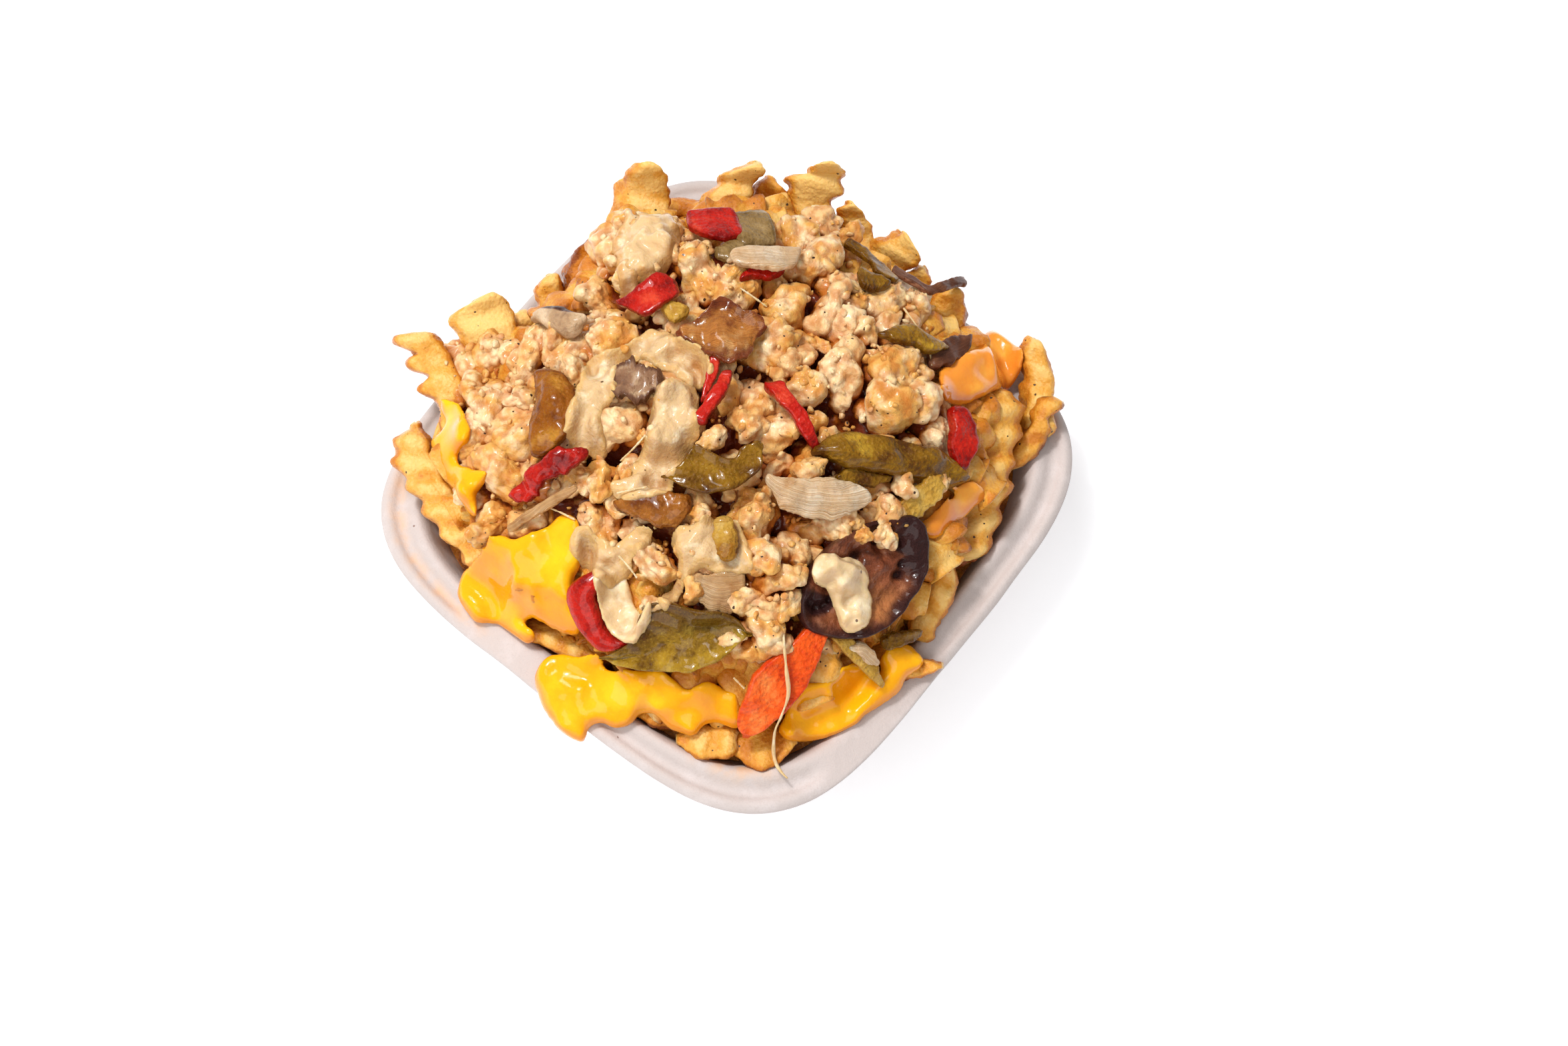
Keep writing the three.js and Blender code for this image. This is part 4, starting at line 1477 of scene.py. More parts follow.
@dataclass
class Fries:
    """The crinkle fries: those that show, by their edges, and rings of buried ones."""

    shown: tuple[Cut, ...] = (
        Cut(((670, 662), (657, 630), (656, 600), (632, 593), (629, 578), (643, 565), (616, 555), (614, 537),
            (628, 531), (591, 518), (589, 504), (603, 500)),
            ((722, 650), (715, 626), (710, 606), (703, 590), (698, 575), (691, 560), (686, 548), (680, 537),
            (676, 527), (668, 518), (662, 509), (662, 501)), (50, 54, 58), 8.0, 0.5, ridge=0.2),
        Cut(((722, 575), (704, 532), (688, 504), (676, 486), (684, 468), (704, 455)),
            ((774, 575), (776, 540), (774, 496), (765, 468), (754, 450), (742, 441)), (50, 55, 60), 11.0,
            -0.1, 0.5, 0.1, 2.6),
        Cut(((822, 500), (806, 465), (800, 436), (810, 417)),
            ((862, 500), (850, 465), (846, 436), (842, 415)), (44, 52), 8.0, 0.3, 0.2),
        Cut(((800, 545), (780, 512), (761, 500), (765, 482)),
            ((840, 540), (826, 505), (813, 482), (799, 467)), (43, 50), 8.0, 0.2),
        Cut(((858, 500), (843, 465), (838, 445), (848, 422), (846, 404), (858, 390), (866, 374), (880, 360)),
            ((922, 490), (918, 460), (910, 435), (914, 415), (906, 398), (906, 380), (908, 362), (904, 350)),
            (45, 52, 61), 9.0, 1.15, 0.7, 0.5),
        Cut(((905, 420), (908, 360), (917, 328), (924, 300), (925, 275), (941, 262), (948, 248)),
            ((1018, 420), (1008, 360), (1002, 330), (1004, 304), (998, 284), (995, 262), (984, 247)),
            (44, 54, 66), 10.0, 0.25, 0.6, 0.5),
        Cut(((996, 300), (1024, 298), (1054, 299)), ((996, 328), (1024, 330), (1054, 328)), 43, 8.0, 0.9,
            ridge=0.3),
        Cut(((1008, 331), (1024, 325), (1044, 322)), ((1016, 350), (1030, 362), (1050, 362)), 46, 7.0, 0.5),
        Cut(((1064, 350), (1056, 325), (1052, 306), (1057, 289), (1077, 276), (1073, 264), (1095, 254),
            (1122, 243)),
            ((1120, 350), (1114, 325), (1116, 308), (1126, 295), (1126, 280), (1133, 270), (1143, 262),
            (1140, 250)), (44, 51, 60), 11.0, 0.15, 0.4, 0.25, 2.6),
        Cut(((1118, 350), (1122, 310), (1132, 280), (1145, 266)),
            ((1168, 350), (1178, 315), (1183, 294), (1166, 275)), (43, 51), 8.0, 0.8, 0.2),
        Cut(((1150, 360), (1152, 325), (1162, 294)), ((1200, 360), (1196, 325), (1188, 294)), (44, 50), 7.0,
            0.4),
        Cut(((1194, 360), (1188, 318), (1179, 292), (1184, 281), (1172, 268), (1190, 261), (1209, 260),
            (1211, 250), (1224, 247)),
            ((1256, 360), (1252, 325), (1239, 304), (1260, 294), (1260, 283), (1253, 271), (1264, 263),
            (1257, 252), (1248, 247)), (46, 55, 64), 11.0, 0.15, 0.3, 0.25, 2.6),
        Cut(((1262, 400), (1261, 350), (1256, 330), (1256, 314), (1266, 306)),
            ((1308, 400), (1307, 360), (1302, 336), (1291, 318), (1279, 307)), (42, 54), 8.0, 0.3, 0.3),
        Cut(((1328, 440), (1308, 390), (1307, 362), (1336, 350), (1346, 345)),
            ((1360, 430), (1354, 408), (1366, 400), (1379, 388), (1364, 360)), (41, 53), 10.0, 0.3, 0.3,
            0.3),
        Cut(((1350, 440), (1356, 414), (1371, 404)), ((1402, 445), (1398, 428), (1390, 410)), (40, 45), 7.0,
            0.45),
        Cut(((1400, 545), (1385, 505), (1377, 475), (1385, 453), (1403, 436)),
            ((1436, 540), (1441, 508), (1448, 478), (1446, 448), (1432, 430)), (40, 50), 11.0, 0.7, 0.3, 0.2,
            2.4),
        Cut(((1528, 660), (1530, 610), (1537, 565), (1528, 532), (1536, 511)),
            ((1584, 650), (1574, 610), (1579, 575), (1570, 545), (1561, 514)), (36, 40, 45), 9.0, 0.35, 0.3,
            0.5),
        Cut(((1500, 705), (1518, 668), (1540, 640), (1548, 612), (1566, 592)),
            ((1545, 693), (1564, 668), (1578, 645), (1573, 627), (1597, 612)), (35, 42), 8.0, 0.75, 0.0,
            0.4),
        Cut(((1430, 596), (1436, 640), (1440, 690), (1440, 740), (1434, 790), (1430, 838)),
            ((1524, 586), (1534, 620), (1523, 668), (1516, 715), (1502, 768), (1478, 832)), (48, 42, 36),
            11.0, 0.25, 0.0, 1.0, 2.6, 0.9),
        Cut(((1380, 815), (1420, 792), (1462, 772)), ((1392, 862), (1440, 850), (1476, 832)), (34, 36), 9.0,
            0.95, ridge=0.7),
        Cut(((1398, 840), (1404, 800), (1420, 770)), ((1440, 850), (1444, 810), (1455, 780)), (34, 38), 9.0,
            1.0),
        Cut(((1360, 950), (1374, 908), (1384, 880), (1399, 850), (1412, 843)),
            ((1396, 962), (1411, 930), (1424, 908), (1438, 876), (1428, 845)), (34, 38, 42), 10.0, 0.3, 0.0,
            0.6),
        Cut(((612, 642), (592, 674), (607, 722), (640, 768), (672, 812), (704, 852)),
            ((634, 638), (655, 680), (678, 722), (702, 764), (722, 800), (742, 832)), (45, 44, 42, 40), 10.0,
            0.3, 0.0, 1.0, 2.6, 0.9),
        Cut(((1018, 1096), (1050, 1088), (1098, 1086)), ((1022, 1122), (1050, 1138), (1098, 1134)), (33, 35),
            8.0, 0.45),
        Cut(((1104, 1094), (1130, 1086), (1160, 1086), (1190, 1094)),
            ((1104, 1134), (1128, 1150), (1156, 1148), (1190, 1120)), (33, 35), 8.0, 0.8, 0.4),
        Cut(((1046, 1000), (1078, 985), (1108, 980)), ((1060, 1030), (1092, 1024), (1118, 1010)), (43, 41),
            7.0, 0.5),
        Cut(((1340, 982), (1376, 984), (1406, 990)), ((1352, 1022), (1384, 1014), (1409, 1006)), (35, 37),
            7.0, 0.7),
        Cut(((790, 925), (830, 938), (875, 960), (905, 985)),
            ((790, 962), (824, 975), (860, 995), (895, 1015)), (33, 36), 9.0, 0.6, 0.0, 0.6),
        Cut(((890, 1040), (930, 1040), (985, 1050), (1030, 1065)),
            ((890, 1070), (930, 1068), (975, 1085), (1020, 1100)), (31, 33), 9.0, 0.8),
        Cut(((1210, 990), (1240, 985), (1280, 975), (1330, 950)),
            ((1215, 1025), (1250, 1020), (1290, 1010), (1345, 985)), (38, 38), 9.0, 0.8, 0.2, 0.6),
    )
    pitch: float = 8.0
    squareness: float = 6.0
    bed_shade_level: float = 1.25
    edge: Line = (
        (935, 300), (990, 300), (1000, 328), (1060, 326), (1075, 300), (1120, 285), (1190, 300), (1240, 310),
        (1290, 345), (1340, 380), (1395, 440), (1440, 470), (1480, 520), (1560, 560), (1575, 620),
        (1530, 690), (1500, 760), (1470, 835), (1410, 925), (1390, 990), (1300, 1060), (1200, 1110),
        (1120, 1138), (1040, 1125), (980, 1066), (900, 1075), (840, 1060), (815, 1000), (820, 970),
        (770, 940), (700, 890), (705, 840), (650, 770), (612, 700), (620, 650), (665, 640), (650, 560),
        (640, 520), (690, 500), (780, 480), (850, 450), (880, 380), (925, 350),
    )
    rings: tuple[tuple[int, float, float, float], ...] = (
        (110, 0.80, -14.0, 0.45), (70, 0.93, -9.0, 0.9), (44, 1.0, -7.0, 1.2),
    )

    def rows_of(self, fries: Sequence[Fry]) -> dict[str, Array]:
        """The fries' fields as whole arrays."""
        names = ("start", "end", "width", "thick", "ridge", "turn", "brown")
        return {name: np.array([getattr(f, name) for f in fries], dtype=float) for name in names}

    def hidden(self) -> list[Fry]:
        """Buried fries: a low ring by the tray, and rings under the chicken's edge that lean outwards.

        Each ring is a count, how far out it lies, how far below the dome, and how freely it turns.

        Returns:
            The fries.
        """
        rng = np.random.default_rng(51)
        fries = []
        for ring, (count, out, drop, swing) in enumerate(self.rings):
            angles = 2 * math.pi * (np.arange(count) + rng.uniform(0, 1, count)) / count
            edge = REGION.limit(angles)
            low = ring == 0
            for k, angle in enumerate(angles):
                round_ = (abs(math.cos(angle)) ** 3 + abs(math.sin(angle)) ** 3) ** (1 / 3)
                share = out if low else min(edge[k] * out, 0.80)
                reach = share * (73.0 if low else PILE.half) / round_
                middle = (0.0, 0.0) if low else (PILE.centre_x, PILE.centre_y)
                x, y = middle[0] + reach * math.cos(angle), middle[1] + reach * math.sin(angle)
                dome = float(PILE.height(np.array(x), np.array(y)))
                z = 35.5 + rng.uniform(-1.5, 1.5) if low else max(dome + drop + rng.uniform(-2.0, 1.0), 38.0)
                turn = math.pi / 2 if low else rng.choice([0.0, math.pi / 2])
                way = angle + turn + rng.normal(0, swing)
                half = rng.uniform(8, 13)
                slope = rng.uniform(-0.15, 0.15) if low else -0.35 * math.cos(way - angle)
                dx, dy, dz = half * math.cos(way), half * math.sin(way), half * slope
                tips = ((x - dx, y - dy, z - dz), (x, y, z), (x + dx, y + dy, z + dz))
                if within(np.asarray(self.edge, dtype=float), LENS.show(np.array(tips))).all():
                    limits = ((9, 12), (7.5, 9.5), (0.7, 1.1), (-40, 40), (0.2, 0.9))
                    fries.append(Fry(tips[0], tips[2], *(rng.uniform(*limit) for limit in limits)))
        return fries

    def bed(self) -> Array:
        """The close bed between the fries, whose dark colour is painted shade: a low dome on a bowed square,
        with wide waves.

        Returns:
            One grid.
        """
        share = np.concatenate([np.linspace(0.03, 1.0, 60), [1.0, 0.97]])
        angle = around(240)
        s, a = np.meshgrid(share, angle, indexing="ij")
        reach = 69.0 * s / bow(a, 4)
        z = 33.5 - 7.0 * s**6
        z[-1] -= 5.0
        at = np.stack([reach * np.cos(a), reach * np.sin(a), z], axis=-1)
        at[..., 2] += (1.8 * noise(at, 9.0, 57) + 0.8 * noise(at, 4.0, 58)) * (s < 0.95)
        return at[None, ::-1]

    def cut_grid(self, cut: Cut, seed: int, rows: int = 58, cols: int = 44) -> tuple[Array, dict[str, Array]]:
        """Surface of a fry that shows: a rounded square section between its two edges.

        Its faces are ridged where it is wide, and it faces the camera, so that its outline is
        that of the photo.

        Args:
            cut: Its edges, heights and thickness.
            seed: Seed of the noise.
            rows: Stations along it.
            cols: Points round it.

        Returns:
            One grid, and the values brown, which also carries painted shade in the grooves, and cut.
        """
        lift = [spread(cut.height, len(edge)) for edge in (cut.left, cut.right)]
        left = eased(smooth_path(LENS.level(cut.left, lift[0]), rows, False), 2)
        right = eased(smooth_path(LENS.level(cut.right, lift[1]), rows, False), 2)
        turn = np.radians([72.0, 40.0, 14.0])
        ends = np.concatenate([np.sin(turn[::-1]), [1.0, 1.0]])
        reach = 1.3 * np.concatenate([-ends[::-1], np.zeros(rows), ends])
        hold = np.concatenate([[0] * 5, np.arange(rows), [rows - 1] * 5])
        centre, half = 0.5 * (left + right), 0.5 * (right - left)
        wide = np.linalg.norm(half, axis=1)
        trend = np.convolve(np.pad(wide, 9, mode="edge"), np.ones(19) / 19, mode="valid")
        run = length_of(centre)
        inward = np.minimum(run, run[-1] - run)[hold] + 1.65 - np.abs(reach)
        close = (1 - (1 - np.minimum(inward / 4.4, 1.0)) ** 2.4) ** (1 / 2.4)
        close[[0, 1, -2, -1]] *= (0.45, 0.8, 0.8, 0.45)
        crinkle = np.cos(2 * math.pi * (run[-1] - run) / self.pitch - 0.6)
        wave = min(0.6, 1.25 * cut.ridge) * (wide - trend) + (0.2 + 0.7 * cut.ridge) * crinkle
        half = half * (1 + cut.scallop * crinkle / wide)[:, None]
        wave = eased(wave[:, None], 2)[:, 0]
        along = unit(np.gradient(centre, axis=0))
        along, wave, wide = unit(eased(along, 4))[hold], wave[hold], wide[hold]
        centre, half = centre[hold], half[hold]
        back = LENS.axes()[2]
        across, upward = rounded(cols, cut.square)
        up = unit(back[None] + cut.lean * unit(half))
        deep = (0.5 * cut.thick + wave) * close
        grid = (
            centre[:, None]
            + half[:, None] * (close[:, None] * across)[..., None]
            + up[:, None] * (deep[:, None] * upward)[..., None]
            + (along * reach[:, None])[:, None]
        )
        out = unit(grid - centre[:, None])
        tip = np.abs(np.arange(len(hold)) - 0.5 * (len(hold) - 1)) > 0.5 * rows + 2
        out = np.where(tip[:, None, None], np.sign(reach)[:, None, None] * along[:, None], out)
        spot = grid + 17.3 * seed
        rough = 0.6 * fractal(spot, 5.0, 3, seed) + 0.5 * (nubs(spot, 3.0, seed + 1) - 0.7)
        rough = rough + 0.25 * (nubs(spot, 1.6, seed + 2) - 0.7)
        rough = rough * (0.8 + 0.7 * across[None] ** 4)
        grid = grid + out * rough[..., None]
        corner = (np.abs(across * upward) / np.abs(across * upward).max())[None]
        crest = smoothstep(0.5 + 0.5 * wave / (np.abs(wave).max() + 1e-6))[:, None]
        side = 0.25 * smoothstep((across - 0.5) / 0.4) + 0.8 * smoothstep((np.abs(across) - 0.66) / 0.34)
        # Painted shade: the grooves between the crinkles are coloured amber.
        groove = (0.3 + 0.5 * cut.ridge) * (1 - crest) * (1 - across[None] ** 2)
        brown = cut.brown - 0.4 + groove + 0.2 * crest * corner + side[None]
        flat = np.where(tip, 0.8, 0.0)[:, None] * np.ones(cols)
        return grid[None], {"brown": (brown - 0.2 * flat)[None], "cut": flat[None]}

    def grids(self, fries: Sequence[Fry], rows: int, cols: int, seed: int) -> tuple[Array, dict[str, Array]]:
        """Fry surfaces: a rounded square, swollen by a wave along the fry, with flat ends.

        Args:
            fries: The fries.
            rows: Stations along each.
            cols: Points round each.
            seed: Seed of the bend and the noise.

        Returns:
            Grids as fry, row, column and x, y, z, and the values brown and cut.
        """
        rng = np.random.default_rng(seed)
        f = self.rows_of(fries)
        count = len(fries)
        line = f["end"] - f["start"]
        length = np.linalg.norm(line, axis=1)
        along = unit(line)
        side = unit(np.cross(np.array([0.0, 0.0, 1.0]), along))
        top = np.cross(along, side)
        tilt = np.radians(f["turn"])[:, None]
        side, top = side * np.cos(tilt) + top * np.sin(tilt), top * np.cos(tilt) - side * np.sin(tilt)
        closing = np.array([0.40, 0.72, 0.90, 0.97])
        starts, ends = [0.0, 0.0, 0.002, 0.012], [0.988, 0.998, 1.0, 1.0]
        run = np.concatenate([starts, np.linspace(0.03, 0.97, rows), ends])
        close = np.concatenate([closing, np.ones(rows), closing[::-1]])
        station = run[None] * length[:, None]
        phase = 2 * math.pi * ((station - length[:, None]) / self.pitch + rng.uniform(0, 1, (count, 1)))
        wave = np.cos(phase) - 0.2 * np.cos(2 * phase)
        across, upward = rounded(cols, self.squareness)
        half_w = (f["width"][:, None] / 2 + f["ridge"][:, None] * wave) * close
        half_t = (f["thick"][:, None] / 2 + 0.5 * f["ridge"][:, None] * wave) * close
        bend = rng.normal(0, 0.9, (count, 1)) * np.sin(math.pi * run)[None]
        centre = f["start"][:, None] + along[:, None] * station[..., None] + side[:, None] * bend[..., None]
        grid = (
            centre[:, :, None]
            + side[:, None, None] * (half_w[:, :, None] * across)[..., None]
            + top[:, None, None] * (half_t[:, :, None] * upward)[..., None]
        )
        out = unit(grid - centre[:, :, None])
        inner = (close[None, :, None] < 0.9) & np.ones((count, 1, cols), dtype=bool)
        outward = np.where(run < 0.5, -1.0, 1.0)[None, :, None, None] * along[:, None, None]
        out = np.where(inner[..., None], outward, out)
        spot = grid + 17.3 * np.arange(count)[:, None, None, None]
        rough = 0.5 * fractal(spot, 4.0, 3, seed) + 0.2 * (nubs(spot, 1.6, seed + 1) - 0.7)
        grid = grid + out * rough[..., None]
        corner = np.abs(across * upward)[None, None] / np.abs(across * upward).max()
        crest = 0.5 + 0.5 * np.cos(phase)[:, :, None]
        brown = f["brown"][:, None, None] - 0.25 + 0.5 * crest * (0.4 + 0.6 * corner) + 0.35 * corner**3
        brown = brown + np.where(inner, -0.1, 0.0)
        cut = np.where(inner, 0.8, 0.0)
        return grid, {"brown": brown, "cut": cut}

    def build(self, relief: Relief, material: Material) -> None:
        """Builds the fries that show, the buried ones and the bed between them.

        Args:
            relief: The height map.
            material: The finish.
        """
        dressing = (material, Slot.FRIES, ("fries_heap",))
        skin = Skin("fries_shown")
        for k, cut in enumerate(self.shown):
            grid, values = self.cut_grid(cut, 61 + k)
            relief.press(grid)
            skin.add(grid, **values)
        skin.build(*dressing)
        hidden = self.hidden()
        for name, part in (("fries_low", hidden[::2]), ("fries_between", hidden[1::2])):
            grid, values = self.grids(part, 20, 22, 62)
            grid = relief.duck(grid)
            relief.press(grid)
            form(name, grid, values, dressing)
        bed = self.bed()
        relief.press(bed)
        # The bed is toasted dark as painted shade between the fries.
        values = {"brown": np.full(bed.shape[:3], self.bed_shade_level), "cut": np.zeros(bed.shape[:3])}
        form("fries_bed", bed, values, dressing)


@dataclass(frozen=True)
class Pour:
    """A pool or film of cheese by its outline in the photo, its thickness and the radius of its lip."""

    outline: Line
    thick: float
    lip: float = 2.0


@dataclass(frozen=True)
class Flap:
    """A piece of topping by its two long edges, read as picture points, and its height above the dome.

    Its section is cupped across, its edges are ragged, its face waves, and a fold runs along it.
    """

    left: Line
    right: Line
    lift: float | tuple[float, ...] = 5.0
    thick: float = 3.2
    cup: float = 0.8
    ragged: float = 0.5
    wave: float = 0.7
    fold: float = 0.0


def flap_grid(flap: Flap, seed: int, rows: int = 56, cols: int = 40) -> tuple[Array, dict[str, Array]]:
    """Surface of a flap: a rounded flat section carried from end to end between its edges.

    The section is cupped across, its edges wander by fractal noise, its face waves up and
    down, and each end is closed by a quarter circle.

    Args:
        flap: Its edges, height, thickness and unevenness.
        seed: Seed of the noise.
        rows: Stations along it.
        cols: Points round it.

    Returns:
        One grid, and the values edge and across.
    """
    lift = spread(flap.lift, len(flap.left))
    left = smooth_path(LENS.onto(flap.left, lift), rows)
    right = smooth_path(LENS.onto(flap.right, lift), rows)
    turn = np.radians([80.0, 55.0, 28.0])
    close = np.concatenate([np.cos(turn), np.ones(rows), np.cos(turn[::-1])])
    reach = 0.5 * flap.thick * np.concatenate([-np.sin(turn), np.zeros(rows), np.sin(turn[::-1])])
    hold = np.concatenate([[0] * 3, np.arange(rows), [rows - 1] * 3])
    centre, half = 0.5 * (left + right), 0.5 * (right - left)
    along = unit(np.gradient(centre, axis=0))[hold]
    centre, half = centre[hold], half[hold]
    up = np.cross(along, half)
    up = unit(up * np.sign(up[:, 2:]))
    width = np.maximum(np.linalg.norm(half, axis=1), 0.3)
    share = np.clip((np.arange(len(hold)) - 3) / (rows - 1), 0, 1)
    lanes = np.stack([share * 40.0, np.full_like(share, 5.0 * seed), np.zeros_like(share)], axis=-1)
    sides = [1 + flap.ragged * fractal(lanes + 40.0 * k, 7.0, 4, seed + k) / (width + 1.0) for k in range(2)]
    angle = 2 * math.pi * (np.arange(cols) + 0.5) / cols
    across = np.sign(np.cos(angle)) * np.abs(np.cos(angle)) ** 0.6
    upward = np.sign(np.sin(angle)) * np.abs(np.sin(angle)) ** 0.45
    lane = np.where(across[None] > 0, sides[0][:, None], sides[1][:, None])
    a = across[None] * lane * close[:, None]
    slim = np.minimum(1.0, width / 1.5)[:, None]
    b = 0.5 * flap.thick * slim * upward[None] * close[:, None]
    b = b + flap.cup * ((across**2)[None] - 0.5) * np.minimum(width[:, None] / 5.0, 1.5)
    b = b + flap.fold * np.exp(-(((across[None] - 0.35 * np.sin(5.0 * share[:, None])) / 0.22) ** 2)) * slim
    grid = centre[:, None] + half[:, None] * a[..., None] + up[:, None] * b[..., None]
    grid = grid + (along * reach[:, None])[:, None]
    wave = flap.wave * noise(grid + 9.0 * seed, 5.5, seed + 5) + 0.28 * flap.wave * noise(grid, 2.0, seed + 6)
    grid = grid + up[:, None] * wave[..., None]
    edge = np.maximum(np.abs(across)[None] * np.ones_like(a), np.abs(2 * share - 1)[:, None] ** 8)
    lane = across[None] * np.ones_like(a) * width[:, None] / 5.0
    return grid[None], {"edge": edge[None], "across": lane[None]}


RED = {
    "red_pepper_back": Flap(((1035, 319), (1055, 317), (1075, 316), (1093, 316)),
        ((1038, 347), (1062, 358), (1088, 359), (1110, 354)), 4, 3, 0.5, 0.2, 0.4),
    "red_pepper_tucked": Flap(((1117, 408), (1132, 401), (1152, 400), (1173, 402)),
        ((1115, 419), (1132, 415), (1150, 419), (1164, 413)), 3, 3, 0.3),
    "red_pepper_upper": Flap(((929, 451), (951, 441), (967, 424), (989, 412), (1006, 421)),
        ((936, 460), (955, 470), (971, 473), (991, 461), (1013, 446)), (4, 5, 6, 6, 4), 3, 0.6),
    "red_pepper_strip": Flap(((1066, 531), (1062, 552), (1055, 576), (1051, 598)),
        ((1080, 541), (1077, 557), (1069, 577), (1062, 592)), 4, 3, 0.2),
    "red_pepper_crossed": Flap(((1080, 562), (1068, 582), (1054, 603), (1042, 622)),
        ((1098, 563), (1090, 586), (1075, 608), (1059, 634)), (7, 7.5, 7.5, 6.5), 3.2, 0.3),
    "red_pepper_long": Flap(((1146, 578), (1163, 600), (1184, 622), (1199, 648), (1212, 667)),
        ((1176, 578), (1192, 598), (1208, 620), (1221, 643), (1227, 662)), (4, 6, 6, 6, 4), 3.2, 0.3),
    "red_pepper_left": Flap(((768, 738), (789, 716), (808, 696), (824, 680), (850, 672), (877, 673)),
        ((783, 751), (800, 744), (812, 726), (828, 712), (851, 709), (874, 694)), (4, 5, 6, 6, 6, 5), 3.0,
        -0.6, 1.5, 1.5),
    "red_pepper_glossy": Flap(((886, 858), (858, 874), (850, 895), (860, 924), (876, 951), (904, 975),
        (948, 963)), ((906, 868), (900, 880), (893, 897), (900, 920), (907, 941), (924, 955), (947, 957)),
        (3, 4.5, 5, 5, 5, 5, 4), 4.0, -1.2, 0.2, 0.3),
    "red_pepper_right": Flap(((1424, 618), (1426, 645), (1424, 672), (1432, 698)),
        ((1449, 620), (1462, 647), (1461, 673), (1449, 697)), 4, 4, 0.8),
}
ORANGE = {
    "red_pepper_front": Flap(((1203, 946), (1183, 967), (1151, 990), (1133, 1009), (1120, 1034),
        (1109, 1059), (1107, 1083), (1114, 1097)),
        ((1238, 953), (1231, 978), (1219, 1005), (1208, 1028), (1190, 1050), (1170, 1072), (1150, 1089),
        (1128, 1098)), (4, 5, 6, 6, 6, 5.5, 5, 4), 4.0, 1.0, 0.5, 0.6),
}
GREEN = {
    "green_pepper_curved": Flap(((1001, 712), (1023, 694), (1043, 668), (1061, 676), (1085, 687),
        (1103, 688), (1111, 672), (1127, 666)),
        ((1003, 718), (1022, 730), (1048, 738), (1073, 739), (1099, 735), (1123, 720), (1141, 700),
        (1143, 677)), (5, 5.5, 6, 6, 6, 6, 6, 6), 4, 1.4, 0.4, 1.1),
    "green_pepper_long": Flap(((1226, 668), (1242, 656), (1267, 648), (1300, 650), (1332, 655), (1366, 667),
        (1400, 672), (1426, 686), (1441, 708)),
        ((1230, 684), (1252, 693), (1278, 702), (1305, 707), (1335, 712), (1365, 716), (1393, 724),
        (1416, 726), (1438, 722)), (4, 4.5, 5, 5, 5, 5, 5, 4.5, 4), 4.4, -1.0, 0.7, 1.4, 1.2),
    "green_pepper_nub": Flap(((1257, 712), (1277, 701), (1302, 708), (1331, 713)),
        ((1265, 728), (1283, 730), (1304, 731), (1326, 724)), 3, 3, 0.6, 0.8),
    "green_pepper_chip": Flap(((1325, 954), (1346, 947), (1378, 944)),
        ((1332, 974), (1352, 967), (1374, 957)), 3, 3, 0.6, 0.8),
    "green_pepper_right": Flap(((1322, 497), (1344, 490), (1371, 489), (1396, 505), (1416, 518)),
        ((1328, 506), (1348, 514), (1371, 518), (1393, 530), (1413, 524)), (4, 5, 5, 5, 4), 3.2, -0.8, 0.7),
    "green_pepper_edge": Flap(((1274, 362), (1295, 374), (1320, 394), (1346, 414)),
        ((1268, 369), (1297, 391), (1313, 409), (1337, 422)), 4, 2.0, 0.4, 1.2),
    "green_pepper_far": Flap(((1290, 407), (1311, 414), (1330, 424)),
        ((1295, 431), (1309, 434), (1322, 432)), 4, 3, 0.4, 0.8),
}
LEAF = {
    "green_pepper_leaf": Flap(((905, 984), (929, 973), (954, 955), (963, 924), (981, 901), (1011, 904),
        (1045, 913), (1080, 916), (1106, 927), (1119, 944)),
        ((907, 989), (930, 995), (952, 999), (975, 1002), (1000, 1004), (1026, 1005), (1051, 999),
        (1079, 986), (1101, 967), (1117, 951)), (3.5, 4.5, 5.5, 6.5, 7, 7, 6.5, 6, 5, 4.5), 3.8, 2.2, 0.6,
        1.4, -1.8),
}
AMBER_GREEN = {
    "green_pepper_slab": Flap(((800, 562), (801, 590), (797, 620), (795, 650), (799, 677)),
        ((848, 563), (863, 590), (864, 620), (853, 651), (829, 677)), (5, 6, 6, 6, 5), 4, -1.4, 0.6, 1.2),
}
BROWN_GREEN = {
    "green_pepper_brown": Flap(((924, 750), (950, 741), (980, 737), (1010, 737), (1030, 740)),
        ((934, 766), (956, 777), (985, 787), (1010, 792), (1029, 772)), (3, 4, 4, 4, 3), 3, -0.8, 0.9),
}
YELLOW_GREEN = {
    "green_pepper_corner": Flap(((1245, 957), (1262, 977), (1285, 998), (1317, 1027)),
        ((1277, 957), (1291, 973), (1308, 987), (1323, 1019)), 4, 3, 0.6),
    "green_pepper_upper": Flap(((992, 446), (1009, 451), (1028, 458)),
        ((996, 471), (1010, 484), (1023, 477)), 3.5, 3, -0.6, 0.5),
    "green_pepper_small": Flap(((1352, 748), (1368, 735), (1384, 721), (1400, 713)),
        ((1368, 778), (1389, 766), (1404, 748), (1418, 730)), (4, 5, 6, 6), 3.6, 0.8, 0.9),
}
BIT = {
    "green_pepper_bit": Flap(((1070, 784), (1069, 806), (1077, 834)),
        ((1099, 781), (1106, 806), (1104, 831)), 7.5, 3.4, -0.4, 0.5),
}
GREY_GREEN = {
    "green_pepper_back": Flap(((1096, 321), (1122, 316), (1146, 318)),
        ((1114, 369), (1138, 370), (1161, 366)), 3.2, 3, -0.6, 0.4),
    "green_pepper_back_low": Flap(((1075, 371), (1093, 361), (1114, 361)),
        ((1080, 389), (1096, 392), (1116, 384)), 2.6, 2.6, -0.6, 0.4),
}
